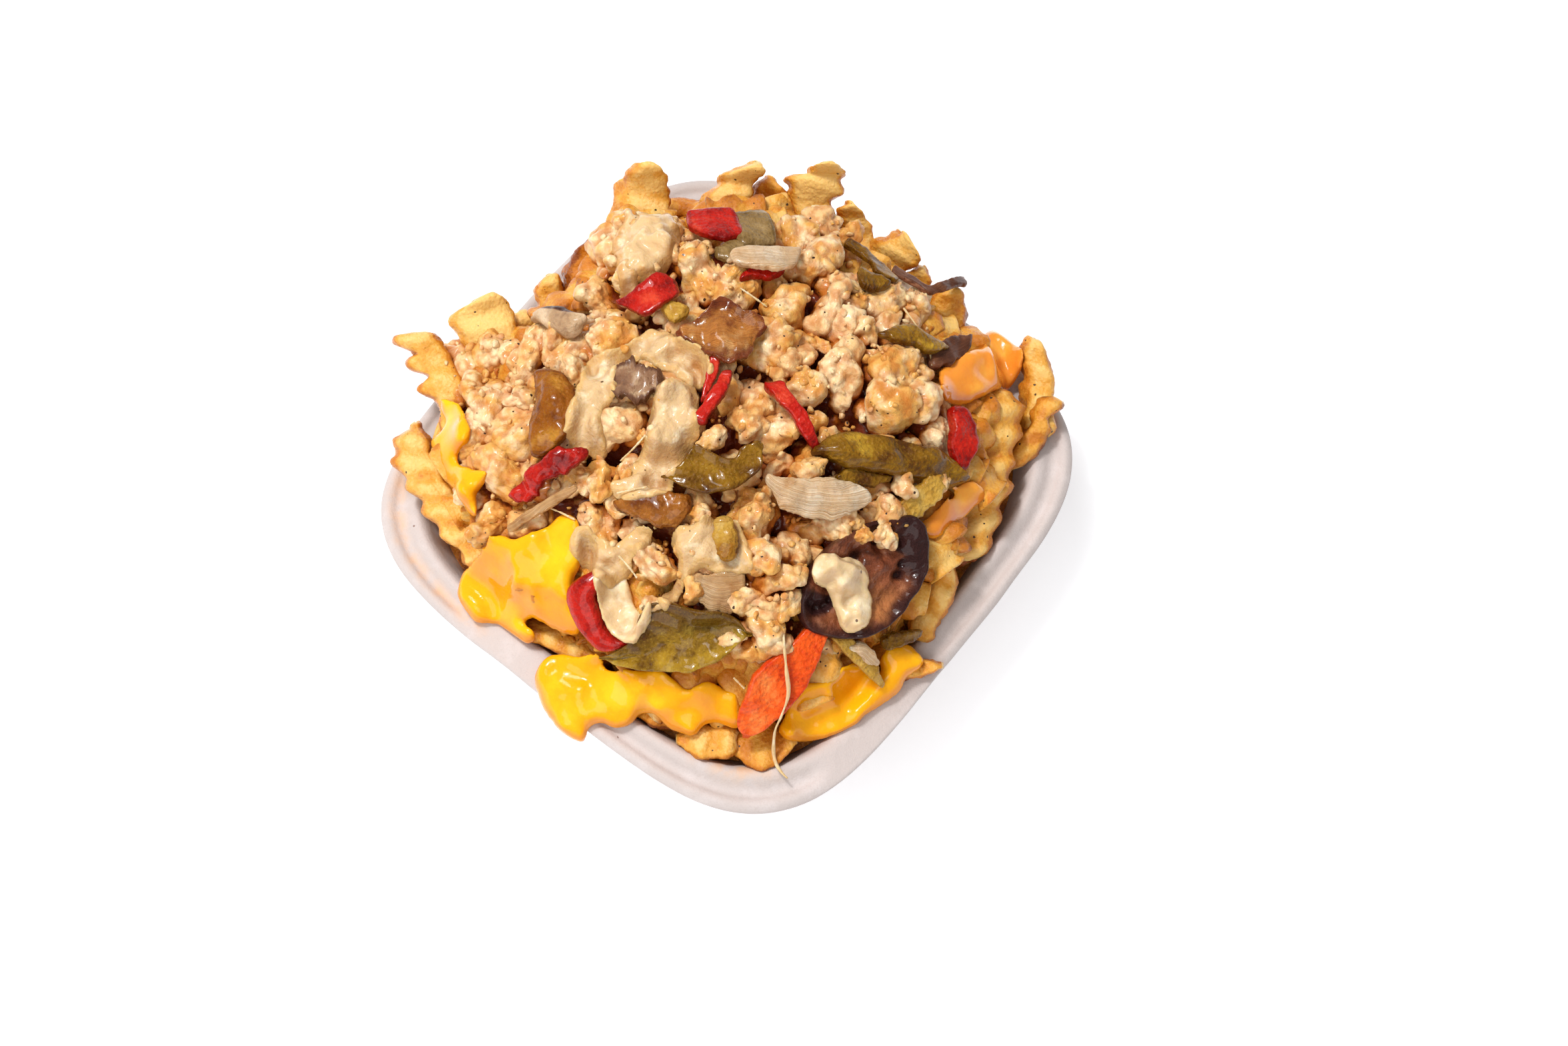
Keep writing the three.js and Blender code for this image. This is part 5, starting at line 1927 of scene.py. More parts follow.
ONION = {
    "onion_back": Flap(((1095, 388), (1104, 375), (1128, 370), (1164, 371), (1197, 375)),
        ((1098, 393), (1112, 400), (1138, 403), (1165, 405), (1187, 402)), (5, 6, 7, 7, 6), 2.6, 0.2, 0.5,
        0.5),
    "onion_centre": Flap(((1154, 712), (1172, 716), (1198, 718), (1235, 718), (1268, 724), (1294, 733)),
        ((1151, 731), (1164, 748), (1186, 770), (1224, 779), (1266, 772), (1302, 755)),
        (6, 6.5, 7, 7, 6.5, 5.5), 2.2, -0.8, 1.0),
    "onion_curl": Flap(((1280, 966), (1290, 960), (1303, 970), (1314, 985)),
        ((1282, 976), (1290, 985), (1299, 994), (1308, 996)), 6, 3, -0.4),
}
CLEAR_ONION = {
    "onion_clear": Flap(((1044, 862), (1066, 859), (1090, 855), (1113, 850)),
        ((1047, 899), (1067, 916), (1090, 919), (1111, 916)), 4.2, 2.0, 0.3, 0.8, 0.6),
    "onion_stick": Flap(((764, 786), (799, 761), (834, 740), (859, 728)),
        ((769, 797), (805, 773), (839, 752), (861, 739)), 5, 2.6, 0.4, 0.4),
}
BROWNED = {
    "onion_browned": Flap(((1021, 499), (1044, 478), (1062, 463), (1078, 449), (1100, 457), (1124, 472),
        (1143, 490)),
        ((1025, 507), (1044, 521), (1058, 531), (1072, 537), (1093, 544), (1119, 541), (1131, 510)),
        (3.5, 4.5, 5.5, 5.5, 5, 5, 4), 3, 1.6, 1.5, 1.7),
}
CHARRED = {
    "browned_strip": Flap(((1343, 402), (1370, 416), (1391, 429), (1415, 423), (1443, 413)),
        ((1340, 411), (1366, 426), (1390, 438), (1416, 434), (1449, 429)), (3, 4, 5, 6, 7), 1.8, 0.2, 0.9,
        1.0),
    "browned_piece": Flap(((1397, 520), (1420, 508), (1449, 505)), ((1404, 552), (1425, 549), (1446, 532)),
        2, 4, 0.6, 0.9),
}
CAP = {
    "mushroom_cap": Flap(((804, 476), (820, 463), (845, 462), (868, 473), (881, 480)),
        ((806, 482), (822, 492), (846, 500), (868, 495), (879, 486)), (3, 4, 5, 5, 4), 4.5, -1.2, 0.5),
}
MUSHROOM = {
    "mushroom_piece": Flap(((922, 548), (944, 538), (965, 546), (987, 553)),
        ((926, 590), (944, 604), (965, 603), (985, 590)), (3.5, 4.5, 4.5, 4), 3, 1.0, 1.6, 1.6),
}
MELTED = {
    "melted_cheese_left": (Pour(((855, 655), (852, 640), (856, 620), (861, 600), (867, 580), (875, 562),
        (886, 548), (898, 538), (912, 529), (930, 526), (944, 520), (958, 506), (978, 498), (1000, 500),
        (1020, 507), (1040, 518), (1054, 532), (1062, 548), (1058, 566), (1046, 580), (1034, 576),
        (1024, 564), (1012, 553), (996, 549), (982, 541), (962, 535), (944, 536), (930, 545), (922, 560),
        (920, 580), (912, 600), (902, 616), (903, 640), (908, 668), (893, 676), (872, 672)), 2.3, 2.8),),
    "melted_cheese_centre": (Pour(((985, 580), (1005, 570), (1026, 574), (1041, 590), (1044, 612),
        (1041, 636), (1036, 660), (1026, 684), (1016, 702), (1008, 722), (992, 737), (962, 744), (935, 738),
        (922, 722), (945, 708), (960, 692), (968, 670), (972, 650), (974, 625), (978, 604)), 2.3, 2.8),),
    "melted_cheese_front": (Pour(((858, 800), (868, 794), (880, 800), (890, 812), (905, 818), (925, 817),
        (945, 808), (962, 796), (980, 786), (974, 802), (958, 816), (942, 828), (934, 840), (940, 856),
        (928, 866), (905, 870), (889, 864), (884, 850), (868, 840), (859, 822)), 2.3, 2.8),
        Pour(((1016, 800), (1034, 788), (1062, 780), (1090, 784), (1108, 800), (1120, 826), (1126, 846),
        (1110, 854), (1085, 852), (1060, 842), (1044, 848), (1032, 862), (1022, 880), (1012, 894),
        (998, 903), (994, 898), (1008, 882), (1016, 862), (1020, 840), (1014, 818)), 1.9, 2.0),),
}
DRIPS = {
    "melted_cheese_fork": (Pour(((890, 862), (905, 856), (925, 852), (936, 862), (943, 880), (948, 896),
        (955, 912), (962, 918), (969, 906), (974, 900), (978, 916), (974, 934), (962, 954), (948, 966),
        (928, 958), (912, 944), (905, 928), (899, 908), (893, 888)), 2.6, 2.6),),
    "melted_cheese_slice": (Pour(((1216, 858), (1220, 838), (1238, 827), (1258, 832), (1268, 850),
        (1260, 870), (1242, 879), (1224, 874)), 4.6, 3.6),
        Pour(((1246, 850), (1262, 836), (1284, 838), (1300, 854), (1302, 876), (1288, 892), (1262, 892),
        (1248, 874)), 5.2, 4.0),
        Pour(((1240, 880), (1264, 866), (1290, 872), (1306, 892), (1307, 916), (1299, 936), (1281, 946),
        (1262, 940), (1254, 920), (1246, 900)), 4.0, 3.2),),
}
TAN_MELTED = {
    "melted_cheese_back": (Pour(((932, 336), (952, 320), (980, 318), (1004, 324), (1014, 345), (1008, 372),
        (994, 398), (976, 414), (958, 408), (944, 412), (934, 396), (924, 372), (926, 350)), 1.9, 2.4),),
    "melted_cheese_run": (Pour(((928, 396), (932, 420), (930, 440), (940, 448), (952, 438), (952, 416),
        (948, 396), (938, 388)), 1.8),),
}
SAUCE = {
    "cheese_sauce_left": (Pour(((655, 600), (672, 598), (690, 606), (704, 640), (700, 662), (690, 672),
        (685, 690), (706, 700), (728, 704), (726, 722), (716, 736), (714, 756), (714, 776), (700, 765),
        (686, 744), (674, 724), (660, 700), (650, 680), (645, 662), (654, 655), (663, 645), (667, 628),
        (658, 614)), 4.0, 2.5),),
    "cheese_sauce_pool": (Pour(((735, 798), (728, 812), (716, 836), (702, 848), (691, 860), (686, 876),
        (686, 892), (692, 906), (702, 920), (716, 931), (736, 932), (753, 938), (768, 950), (788, 962),
        (804, 956), (800, 942), (786, 931), (800, 927), (820, 935), (842, 947), (868, 946), (872, 925),
        (866, 905), (858, 885), (862, 860), (872, 840), (872, 800), (862, 775), (840, 770), (820, 785),
        (800, 795), (775, 806), (755, 800)), 6.0, 4.0),),
    "cheese_sauce_front": (Pour(((828, 980), (815, 988), (806, 1000), (802, 1020), (805, 1040), (815, 1060),
        (829, 1080), (839, 1096), (850, 1101), (860, 1106), (873, 1112), (878, 1104), (879, 1094),
        (886, 1085), (898, 1081), (915, 1087), (930, 1088), (946, 1082), (961, 1068), (976, 1066),
        (988, 1074), (1002, 1088), (1022, 1098), (1040, 1101), (1052, 1086), (1075, 1078), (1098, 1090),
        (1112, 1084), (1110, 1060), (1104, 1038), (1080, 1026), (1058, 1018), (1040, 1027), (1024, 1030),
        (1010, 1015), (996, 1004), (975, 1002), (945, 1000), (922, 1005), (908, 998), (903, 984), (888, 976),
        (868, 982), (848, 978)), 6.0, 4.0),),
    "cheese_sauce_corner": (Pour(((1186, 1045), (1205, 1024), (1240, 1018), (1262, 998), (1282, 992),
        (1300, 1004), (1318, 1010), (1318, 985), (1336, 968), (1362, 962), (1376, 976), (1386, 994),
        (1364, 1010), (1346, 1038), (1325, 1052), (1300, 1068), (1280, 1086), (1250, 1099), (1212, 1110),
        (1184, 1108), (1168, 1095), (1176, 1072)), 5.5, 4.0),),
}
AMBER_SAUCE = {
    "cheese_sauce_right": (Pour(((1470, 500), (1498, 496), (1530, 514), (1534, 545), (1521, 570),
        (1492, 582), (1462, 597), (1432, 603), (1414, 586), (1408, 556), (1430, 535), (1456, 524),
        (1474, 518)), 7.0, 5.0),),
    "cheese_sauce_drape": (Pour(((1424, 722), (1450, 720), (1474, 728), (1480, 744), (1462, 760),
        (1446, 774), (1420, 790), (1404, 804), (1386, 800), (1380, 784), (1398, 768), (1414, 750),
        (1436, 738)), 4.5, 3.5),),
}
STRINGS = (
    ((1174, 940, 8.0), (1176, 970, 10.0), (1179, 1004, 10.5), (1182, 1040, 10.0), (1172, 1072, 9.0),
        (1162, 1096, 7.0), (1160, 1128, 5.0), (1164, 1146, 7.5), (1172, 1158, 10.0), (1181, 1167, 12.0)),
    ((818, 759, 3.0), (840, 768, 3.0), (862, 779, 4.0)),
    ((925, 739, 5.0), (948, 734, 6.0), (970, 730, 5.0)),
    ((1355, 462, 4.0), (1375, 490, 5.0), (1392, 522, 3.0), (1398, 548, 2.0)),
    ((928, 833, 5.0), (943, 850, 5.0), (955, 866, 4.0)),
    ((1100, 1016, 4.0), (1117, 1033, 4.0)),
    ((1110, 432, 4.0), (1128, 444, 5.0), (1150, 460, 4.0)),
    ((930, 691, 4.0), (950, 672, 4.5), (968, 652, 4.0)),
)


@dataclass(frozen=True)
class Patch:
    """A place in the photo or in plan, and its reach either way."""

    x: float
    y: float
    wide: float
    high: float

    def steps(self, points: Array) -> tuple[Array, Array]:
        """How far points lie from it along x and y, in its own reach."""
        return (points[..., 0] - self.x) / self.wide, (points[..., 1] - self.y) / self.high


@dataclass(frozen=True)
class Batch:
    """Flaps with one finish: a table of them by node name, with the slot, the seed and the finish."""

    table: dict[str, Flap]
    slot: Slot
    seed: int
    finish: object


@dataclass
class Toppings:
    """Peppers, onion and mushroom, each its own piece."""

    relief: Relief
    shelf: Shelf
    slice_at: Point = (55, -10, 4)
    slice_rim: Line = (
        (1345, 775), (1366, 772), (1384, 785), (1393, 812), (1391, 850), (1380, 880), (1364, 902),
        (1344, 925), (1320, 944), (1294, 955), (1262, 958), (1232, 953), (1210, 944), (1198, 926),
        (1195, 905), (1200, 880), (1214, 852), (1234, 826), (1260, 804), (1290, 788), (1320, 779),
    )
    slice_holes: tuple[tuple[float, float, float], ...] = (
        (1285, 835, 3.0), (1318, 808, 3.2), (1348, 862, 1.6), (1352, 846, 1.4), (1345, 815, 2.4),
        (1212, 903, 1.6), (1222, 909, 1.8), (1233, 908, 1.6), (1243, 901, 1.3),
    )
    slice_thick: float = 5.0
    slice_lean: Point = (0.0, -0.05, 0.25)
    slice_shade: Patch = Patch(1295, 865, 95, 90)
    slice_dark: Patch = Patch(1335, 880, 40, 60)
    slice_gills: Patch = Patch(1222, 902, 26, 13)
    slice_warm: Patch = Patch(1310, 915, 55, 34)

    def flaps(self, batch: Batch) -> None:
        """Builds each flap of a batch as a piece that stands for the node of its name.

        Args:
            batch: The batch.
        """
        for k, (name, flap) in enumerate(batch.table.items()):
            grid, values = flap_grid(flap, batch.seed + 3 * k)
            self.relief.press(grid)
            form(name + "_look", grid, values, (self.shelf.take(batch.finish), batch.slot, (name,)))

    def mushroom_slice(self) -> None:
        """The flat slice: its outline shrinks to its middle, with a round rim, and folds and holes."""
        at = PILE.lift([self.slice_at])[0]
        normal = unit(PILE.normal(np.array(at[0]), np.array(at[1])) + np.array(self.slice_lean))
        outline = ring_path(LENS.plane(self.slice_rim, at, normal), 7)
        middle = outline.mean(axis=0)
        lift = np.radians(np.linspace(-90, 90, 11))
        lip = 0.95 + 0.05 * np.cos(lift)
        share = np.concatenate([np.linspace(0.04, 0.94, 14), lip, np.linspace(0.94, 0.03, 44)])
        level = 0.5 * np.concatenate([np.full(14, -1.0), np.sin(lift), np.ones(44)])
        spot = middle + share[:, None, None] * (outline - middle)[None]
        face = smoothstep((level + 0.1) / 0.5)[:, None]
        ripple = 1.6 * fractal(spot, 9.0, 3, 71) + 0.45 * noise(spot, 1.9, 72)
        hole = np.asarray(self.slice_holes)
        holes = LENS.plane(hole[:, :2], at, normal)
        gap = (((spot[..., None, :] - holes) ** 2).sum(axis=-1)) / hole[:, 2] ** 2
        dip = np.exp(-gap).max(axis=-1)
        bowl = 1.4 * smoothstep(1 - np.abs(share[:, None] - 0.45) / 0.5)
        rise = level[:, None] * self.slice_thick + face * (ripple - bowl - 2.6 * dip)
        grid = spot + normal * rise[..., None]
        self.relief.press(grid)
        patches = (self.slice_shade, self.slice_dark, self.slice_gills, self.slice_warm)
        shade, dark, gills, warm = (patch.steps(LENS.show(spot)) for patch in patches)
        # The edge value also carries painted shade: darker towards the lower right of the face by the shade
        # patch, and in the holes.
        rim = share[:, None] + 0.06 * np.clip(sum(shade), -1.5, 1.2)
        edge = rim - 0.12 + 0.5 * dip + 0.55 * smoothstep(dark[0]) * smoothstep(-dark[1])
        edge = edge + 0.8 * np.exp(-(gills[0] ** 2) - gills[1] ** 2)
        warmth = np.exp(-(warm[0] ** 2) - warm[1] ** 2)
        values = {"edge": np.clip(edge, 0, 1.2)[None], "warm": warmth[None]}
        dressing = (self.shelf.take(MushroomFinish()), Slot.MUSHROOM, ("mushroom_slice",))
        form("mushroom_slice_look", grid[None], values, dressing)


def string_grid(points: Array, thick: float, seed: int, rows: int = 48, cols: int = 8) -> Array:
    """A cheese string: a round section of uneven size carried along a path.

    Args:
        points: Points of the path in mm.
        thick: Its thickness in mm.
        seed: Seed of its unevenness.
        rows: Stations along it.
        cols: Points round it.

    Returns:
        One grid.
    """
    path = smooth_path(points, rows)
    along = unit(np.gradient(path, axis=0))
    side = unit(np.cross(along, np.array([0.0, 0.0, 1.0])))
    up = np.cross(side, along)
    angle = around(cols)
    lanes = np.stack([np.linspace(0, 60, rows), np.full(rows, 3.0 * seed), np.zeros(rows)], axis=-1)
    radius = 0.5 * thick * (1 + 0.35 * fractal(lanes, 6.0, 2, seed))[:, None]
    ring = side[:, None] * (radius * np.cos(angle))[..., None]
    ring = ring + up[:, None] * (radius * np.sin(angle))[..., None]
    return (path[:, None] + ring)[None]


def ring_path(points: Array, steps: int) -> Array:
    """Closed Catmull-Rom curve through the points, with that many steps from one to the next.

    Args:
        points: Points in turn.
        steps: Steps from one to the next.

    Returns:
        Points of the curve.
    """
    a, b, c, d = (np.roll(points, k, axis=0)[:, None] for k in (1, 0, -1, -2))
    f = np.linspace(0, 1, steps, endpoint=False)[None, :, None]
    return spline(a, b, c, d, f).reshape(-1, points.shape[1])


def gap_to(outline: Array, spots: Array) -> Array:
    """Distance from flat points to an outline, below 0 outside it.

    Args:
        outline: Its corners in turn.
        spots: Flat points.

    Returns:
        One distance for each point.
    """
    a, b = outline, np.roll(outline, -1, axis=0)
    way = b - a
    over = ((spots[:, None] - a) * way).sum(axis=-1) / np.maximum((way**2).sum(axis=-1), 1e-9)
    near = a + way * np.clip(over, 0, 1)[..., None]
    gap = np.linalg.norm(spots[:, None] - near, axis=-1).min(axis=1)
    return np.where(within(outline, spots), gap, -gap)


@dataclass
class Melts:
    """Melted cheese and sauce, draped over the height map of what lies below.

    Lengths are in mm. The ground is blurred by a reach, and the plan grid and the skin are
    made in cells and voxels. The outline wanders by ragged and grows by grow. The underside
    lies sink below the ground, uneven and fold are the depth and pitch of the lumps, and the
    rim's colour fades over a feather. At the outline the sheet starts at a share of its
    thickness above the ground, the brink, and thin is a share of each pour's thickness.
    """

    reach: float
    cell: float
    voxel: float
    ragged: float
    sink: float
    uneven: float
    fold: float
    feather: float
    brink: float = 0.4
    grow: float = 0.0
    thin: float = 1.0

    def sheet(self, pour: Pour, outline: Array, relief: Relief, ground: Array,
              seed: int) -> tuple[Array, Array]:
        """Closed sheet over a plan grid: its face stands a thickness above the blurred ground.

        From its outline inwards the face rises and the underside falls as quarter circles of
        the lip's radius, so that the rim is round.

        Args:
            pour: Its thickness and lip.
            outline: Its outline in plan.
            relief: The height map's cells.
            ground: The height map to lie on.
            seed: Seed of its wandering outline.

        Returns:
            Points, and the corners of its faces.
        """
        low, high = outline.min(axis=0) - 1.0 - self.grow, outline.max(axis=0) + 1.0 + self.grow
        x, y = np.meshgrid(*(np.arange(low[a], high[a], self.cell) for a in range(2)), indexing="ij")
        shape = x.shape
        flat = np.stack([x.ravel(), y.ravel()], axis=-1)
        spot = np.column_stack([flat, np.full(len(flat), 5.0 * seed)])
        gap = gap_to(outline, flat) + self.grow + self.ragged * fractal(spot, 5.0, 3, seed)
        rise = np.sqrt(1 - (1 - np.clip(gap / pour.lip, 0, 1)) ** 2)
        base = relief.read(ground, flat[:, 0], flat[:, 1])
        bulge = nubs(spot, 1.3 * self.fold, seed + 3) - 0.6 + 0.5 * noise(spot, 0.6 * self.fold, seed + 4)
        thick = self.thin * pour.thick * (1 + self.uneven * bulge)
        top = base + thick * (self.brink + (1.0 - self.brink) * rise)
        bottom = base + self.brink * thick - (self.brink * thick + self.sink) * rise - 0.05
        if self.brink > 0:
            raw = relief.read(relief.top, flat[:, 0], flat[:, 1])
            top = np.where(rise > 0.7, np.maximum(top, np.minimum(raw + 0.5, top + 4.0)), top)
        bottom = np.minimum(bottom, top - 0.35)
        used = (gap > -0.5 * self.cell).reshape(shape)
        index = np.arange(len(flat)).reshape(shape)
        full = used[:-1, :-1] & used[1:, :-1] & used[1:, 1:] & used[:-1, 1:]
        quads = np.stack([index[:-1, :-1], index[1:, :-1], index[1:, 1:], index[:-1, 1:]], axis=-1)[full]
        edges = np.stack([quads, np.roll(quads, -1, axis=1)], axis=-1).reshape(-1, 2)
        code = edges.min(axis=1) * len(flat) + edges.max(axis=1)
        _, first, times = np.unique(code, return_index=True, return_counts=True)
        rim = edges[first[times == 1]]
        count = len(flat)
        sides = np.stack([rim[:, 0], rim[:, 0] + count, rim[:, 1] + count, rim[:, 1]], axis=-1)
        faces = np.concatenate([quads, quads[:, ::-1] + count, sides])
        points = np.concatenate([np.column_stack([flat, top]), np.column_stack([flat, bottom])])
        kept, faces = np.unique(faces, return_inverse=True)
        return points[kept], faces.reshape(-1, 4)

    def flow(self, piece: Object) -> Mesh:
        """Flows a piece's sheets into one round-rimmed skin, and gives it its new mesh.

        Args:
            piece: The piece.

        Returns:
            Its new mesh.
        """
        join = piece.modifiers.new("Join", "REMESH")
        join.mode = "VOXEL"
        join.voxel_size = self.voxel * MM
        ease = piece.modifiers.new("Ease", "SMOOTH")
        ease.factor = 0.6
        ease.iterations = 5
        graph = bpy.context.evaluated_depsgraph_get()
        piece.data = bpy.data.meshes.new_from_object(piece.evaluated_get(graph), depsgraph=graph)
        piece.modifiers.clear()
        piece.data.shade_smooth()
        return piece.data

    def build(self, table: dict[str, tuple[Pour, ...]], relief: Relief, material: Material,
              slot: Slot, seed: int) -> None:
        """Builds each melt of a table, with values for painted shade by its slope and its depth in the heap,
        and for its rim.

        Args:
            table: Pours by node name.
            relief: The height map.
            material: The finish.
            slot: The record's slot.
            seed: Seed of the outlines.
        """
        ground = np.maximum(relief.soft(self.reach), relief.soft(0.4 * self.reach) - 0.25 * self.reach)
        wide = relief.soft(3.0)
        for k, (name, pours) in enumerate(table.items()):
            points, faces, count = [], [], 0
            aimed = (relief.aim(pour.outline, ground, 0.6 * pour.thick) for pour in pours)
            lines = [ring_path(at[:, :2], 5) for at in aimed]
            for j, (pour, line) in enumerate(zip(pours, lines)):
                spots, quads = self.sheet(pour, line, relief, ground, seed + 5 * k + j)
                points.append(spots)
                faces.append(quads + count)
                count += len(spots)
            mesh = bpy.data.meshes.new(name + "_look")
            mesh.from_pydata((np.concatenate(points) * MM).tolist(), [], np.concatenate(faces).tolist())
            piece = put(name + "_look", mesh)
            mesh = self.flow(piece)
            spots, up = np.empty((2, len(mesh.vertices), 3), dtype=np.float32)
            mesh.vertices.foreach_get("co", spots.ravel())
            mesh.vertex_normals.foreach_get("vector", up.ravel())
            at = spots.astype(float) / MM
            relief.press(at)
            # Painted shade: how far each point lies below the blurred heap.
            deep = (relief.read(wide, at[:, 0], at[:, 1]) - at[:, 2]) / 4.0
            inward = np.max([gap_to(line, at[:, :2]) for line in lines], axis=0)
            rim = 1.0 - smoothstep(inward / self.feather)
            carry(mesh, {"steep": 1.0 - np.clip(up[:, 2], 0, 1), "hollow": deep, "rim": rim})
            dress(piece, material, slot, (name,))


@dataclass
class Tray:
    """The fibre tray: its section carried round a bowed square."""

    half: float = 82.5
    power: float = 4.2
    top: Line = (
        (24.5, 1.8), (22.5, 4.2), (12.2, 30.5), (10.4, 35.0), (8.2, 36.0), (4.8, 32.8), (2.2, 35.2),
        (0.0, 33.4),
    )
    under: Line = (
        (0.5, 31.9), (2.4, 32.9), (4.9, 31.8), (8.3, 34.2), (10.6, 29.8), (20.7, 3.6), (23.5, 0.0),
    )
    groove_inset: float = 8.0
    plain_height: float = 33.8
    plain_rise: float = 2.0
    plain_thick: float = 1.7
    inner_share: float = 0.53
    stain_inset: float = 4.2
    stain_reach: float = 1.8
    stain_corner: Patch = Patch(-18, -50, 12, 10)
    fry_stain: Patch = Patch(54, -64, 12, 8)
    plain_front: tuple[float, float] = (-8.0, 22.0)
    plain_right: tuple[float, float] = (-32.0, 20.0)
    fade: float = 9.0

    def section(self) -> tuple[Array, Array, Array]:
        """The section, its corners rounded by cutting them three times.

        Returns:
            Insets, grooved heights and plain heights.
        """
        rows = np.array([*self.top, *self.under])
        upper = np.arange(len(rows)) < len(self.top)
        plain = self.plain_height + rows[:, 0] / self.groove_inset * self.plain_rise
        plain = plain - np.where(upper, 0.0, self.plain_thick)
        plain = np.where(rows[:, 0] < self.groove_inset, plain, rows[:, 1])
        line = np.column_stack([rows, plain])
        for _ in range(3):
            a, b = line[:-1], line[1:]
            cut = np.stack([0.75 * a + 0.25 * b, 0.25 * a + 0.75 * b], axis=1).reshape(-1, 3)
            line = np.vstack([line[:1], cut, line[-1:]])
        return line[:, 0], line[:, 1], line[:, 2]

    def groove(self, along: Array, out: Array, middle: float, reach: float) -> Array:
        """Share of the groove on one side of the rim: 0 on its plain stretch and 1 past it."""
        stretch = smoothstep((np.abs(along - middle) - reach) / self.fade)
        return np.where(out > 0.9 * self.half, stretch, 1.0)

    def surface(self, cols: int) -> Array:
        """The tray's surface, as section row, column round it and x, y, z.

        Args:
            cols: Points round it.

        Returns:
            One grid.
        """
        angle = around(cols)
        radius = 1.0 / bow(angle, self.power)
        inset, grooved, plain = self.section()
        x_rim, y_rim = self.half * radius * np.cos(angle), self.half * radius * np.sin(angle)
        front = self.groove(x_rim, -y_rim, *self.plain_front)
        share = np.minimum(front, self.groove(y_rim, x_rim, *self.plain_right))
        z = grooved[:, None] * share + plain[:, None] * (1 - share)
        reach = (self.half - inset[:, None]) * radius
        grid = np.stack([reach * np.cos(angle), reach * np.sin(angle), z], axis=-1)
        loose = (z > 1.0)[..., None] * np.array([0.25, 0.25, 0.3])
        return grid + loose * np.stack([noise(grid, 14.0, 81 + k) for k in range(3)], axis=-1)

    def build(self, relief: Relief, material: Material) -> None:
        """Builds the tray; oil has soaked into its groove on the left and where fries touch its wall.

        Args:
            relief: The height map.
            material: The finish.
        """
        relief.press(self.surface(1000))
        grid = self.surface(320)
        x, y = grid[..., 0], grid[..., 1]
        inset = self.half - (np.abs(x) ** self.power + np.abs(y) ** self.power) ** (1 / self.power)
        groove = np.exp(-(((inset - self.stain_inset) / self.stain_reach) ** 2))
        right, up = self.stain_corner.steps(grid)
        groove = groove * smoothstep(-up) * smoothstep(-right)
        inner = (np.arange(len(grid)) < self.inner_share * len(grid))[:, None]
        wall = inner * smoothstep((inset - 9.5) / 4.0) * (0.4 + 0.35 * noise(grid, 16.0, 88))
        right, up = self.fry_stain.steps(grid)
        front = inner * np.exp(-(right**2) - up**2) * smoothstep((inset - 5) / 4.0)
        oil = np.clip(0.8 * inner * groove + wall + front, 0, 1)
        form("tray_look", grid[None], {"oil": oil[None]}, (material, Slot.TRAY, ("tray",)))


@dataclass
class Studio:
    """Camera, floor and light of the photo: a large soft box at its upper left, a weaker one opposite."""

    floor_half: float = 6.0
    lamps: tuple[tuple[str, Point, float, float], ...] = (
        ("KeyBox", (-0.5, 0.02, 1.2), 0.5, 7.4),
        ("KeySpot", (-0.44, -0.03, 1.2), 0.15, 7.4),
        ("FillBox", (0.15, -0.9, 1.0), 1.0, 8.5),
    )
    aim: Point = (0.0, 0.0, 0.05)
    sky: tuple[float, float, float, float] = (1.0, 0.99, 0.98, 1.0)
    sky_strength: float = 0.38

    def camera(self) -> None:
        """Places the camera of the photo."""
        right, up, back = (Vector(axis) for axis in LENS.axes())
        data = bpy.data.cameras.new("PhotoCamera")
        data.sensor_width = LENS.sensor
        data.lens = LENS.focal / LENS.wide * LENS.sensor
        data.clip_start, data.clip_end = 0.01, 10.0
        camera = put("PhotoCamera", data)
        turn = Matrix((right, up, back)).transposed().to_4x4()
        camera.matrix_world = Matrix.Translation(Vector(LENS.eye()) * MM) @ turn
        bpy.context.scene.camera = camera

    def floor(self) -> None:
        """A wide pale floor."""
        white = (1.0, 1.0, 1.0)
        material = Paint("PaleFloor").finish(
            [], Base_Color=(0.88, 0.89, 0.92), Roughness=0.9, Specular_IOR_Level=0.0,
            Emission_Color=white, Emission_Strength=0.38)
        mesh = bpy.data.meshes.new("floor")
        half = self.floor_half
        corners = [(-half, -half, 0), (half, -half, 0), (half, half, 0), (-half, half, 0)]
        mesh.from_pydata(corners, [], [(0, 1, 2, 3)])
        mesh.materials.append(material)
        floor = put("floor", mesh)

    def lamp(self, name: str, place: Point, size: float, watts: float) -> None:
        """A square soft box that faces the heap.

        Args:
            name: Its name.
            place: Its place in metres.
            size: Its side in metres.
            watts: Its power.
        """
        data = bpy.data.lights.new(name, "AREA")
        data.shape = "SQUARE"
        data.size = size
        data.energy = watts
        lamp = put(name, data)
        lamp.location = place
        lamp.rotation_euler = (Vector(self.aim) - Vector(place)).to_track_quat("-Z", "Y").to_euler()

    def build(self) -> None:
        """Sets up the camera, the floor, the lamps and a pale sky."""
        self.camera()
        self.floor()
        for row in self.lamps:
            self.lamp(*row)
        world = bpy.data.worlds.new("PaleSky")
        world.use_nodes = True
        sky = world.node_tree.nodes["Background"]
        sky.inputs[0].default_value = self.sky
        sky.inputs[1].default_value = self.sky_strength
        bpy.context.scene.world = world
        bpy.context.scene.view_settings.view_transform = "Standard"


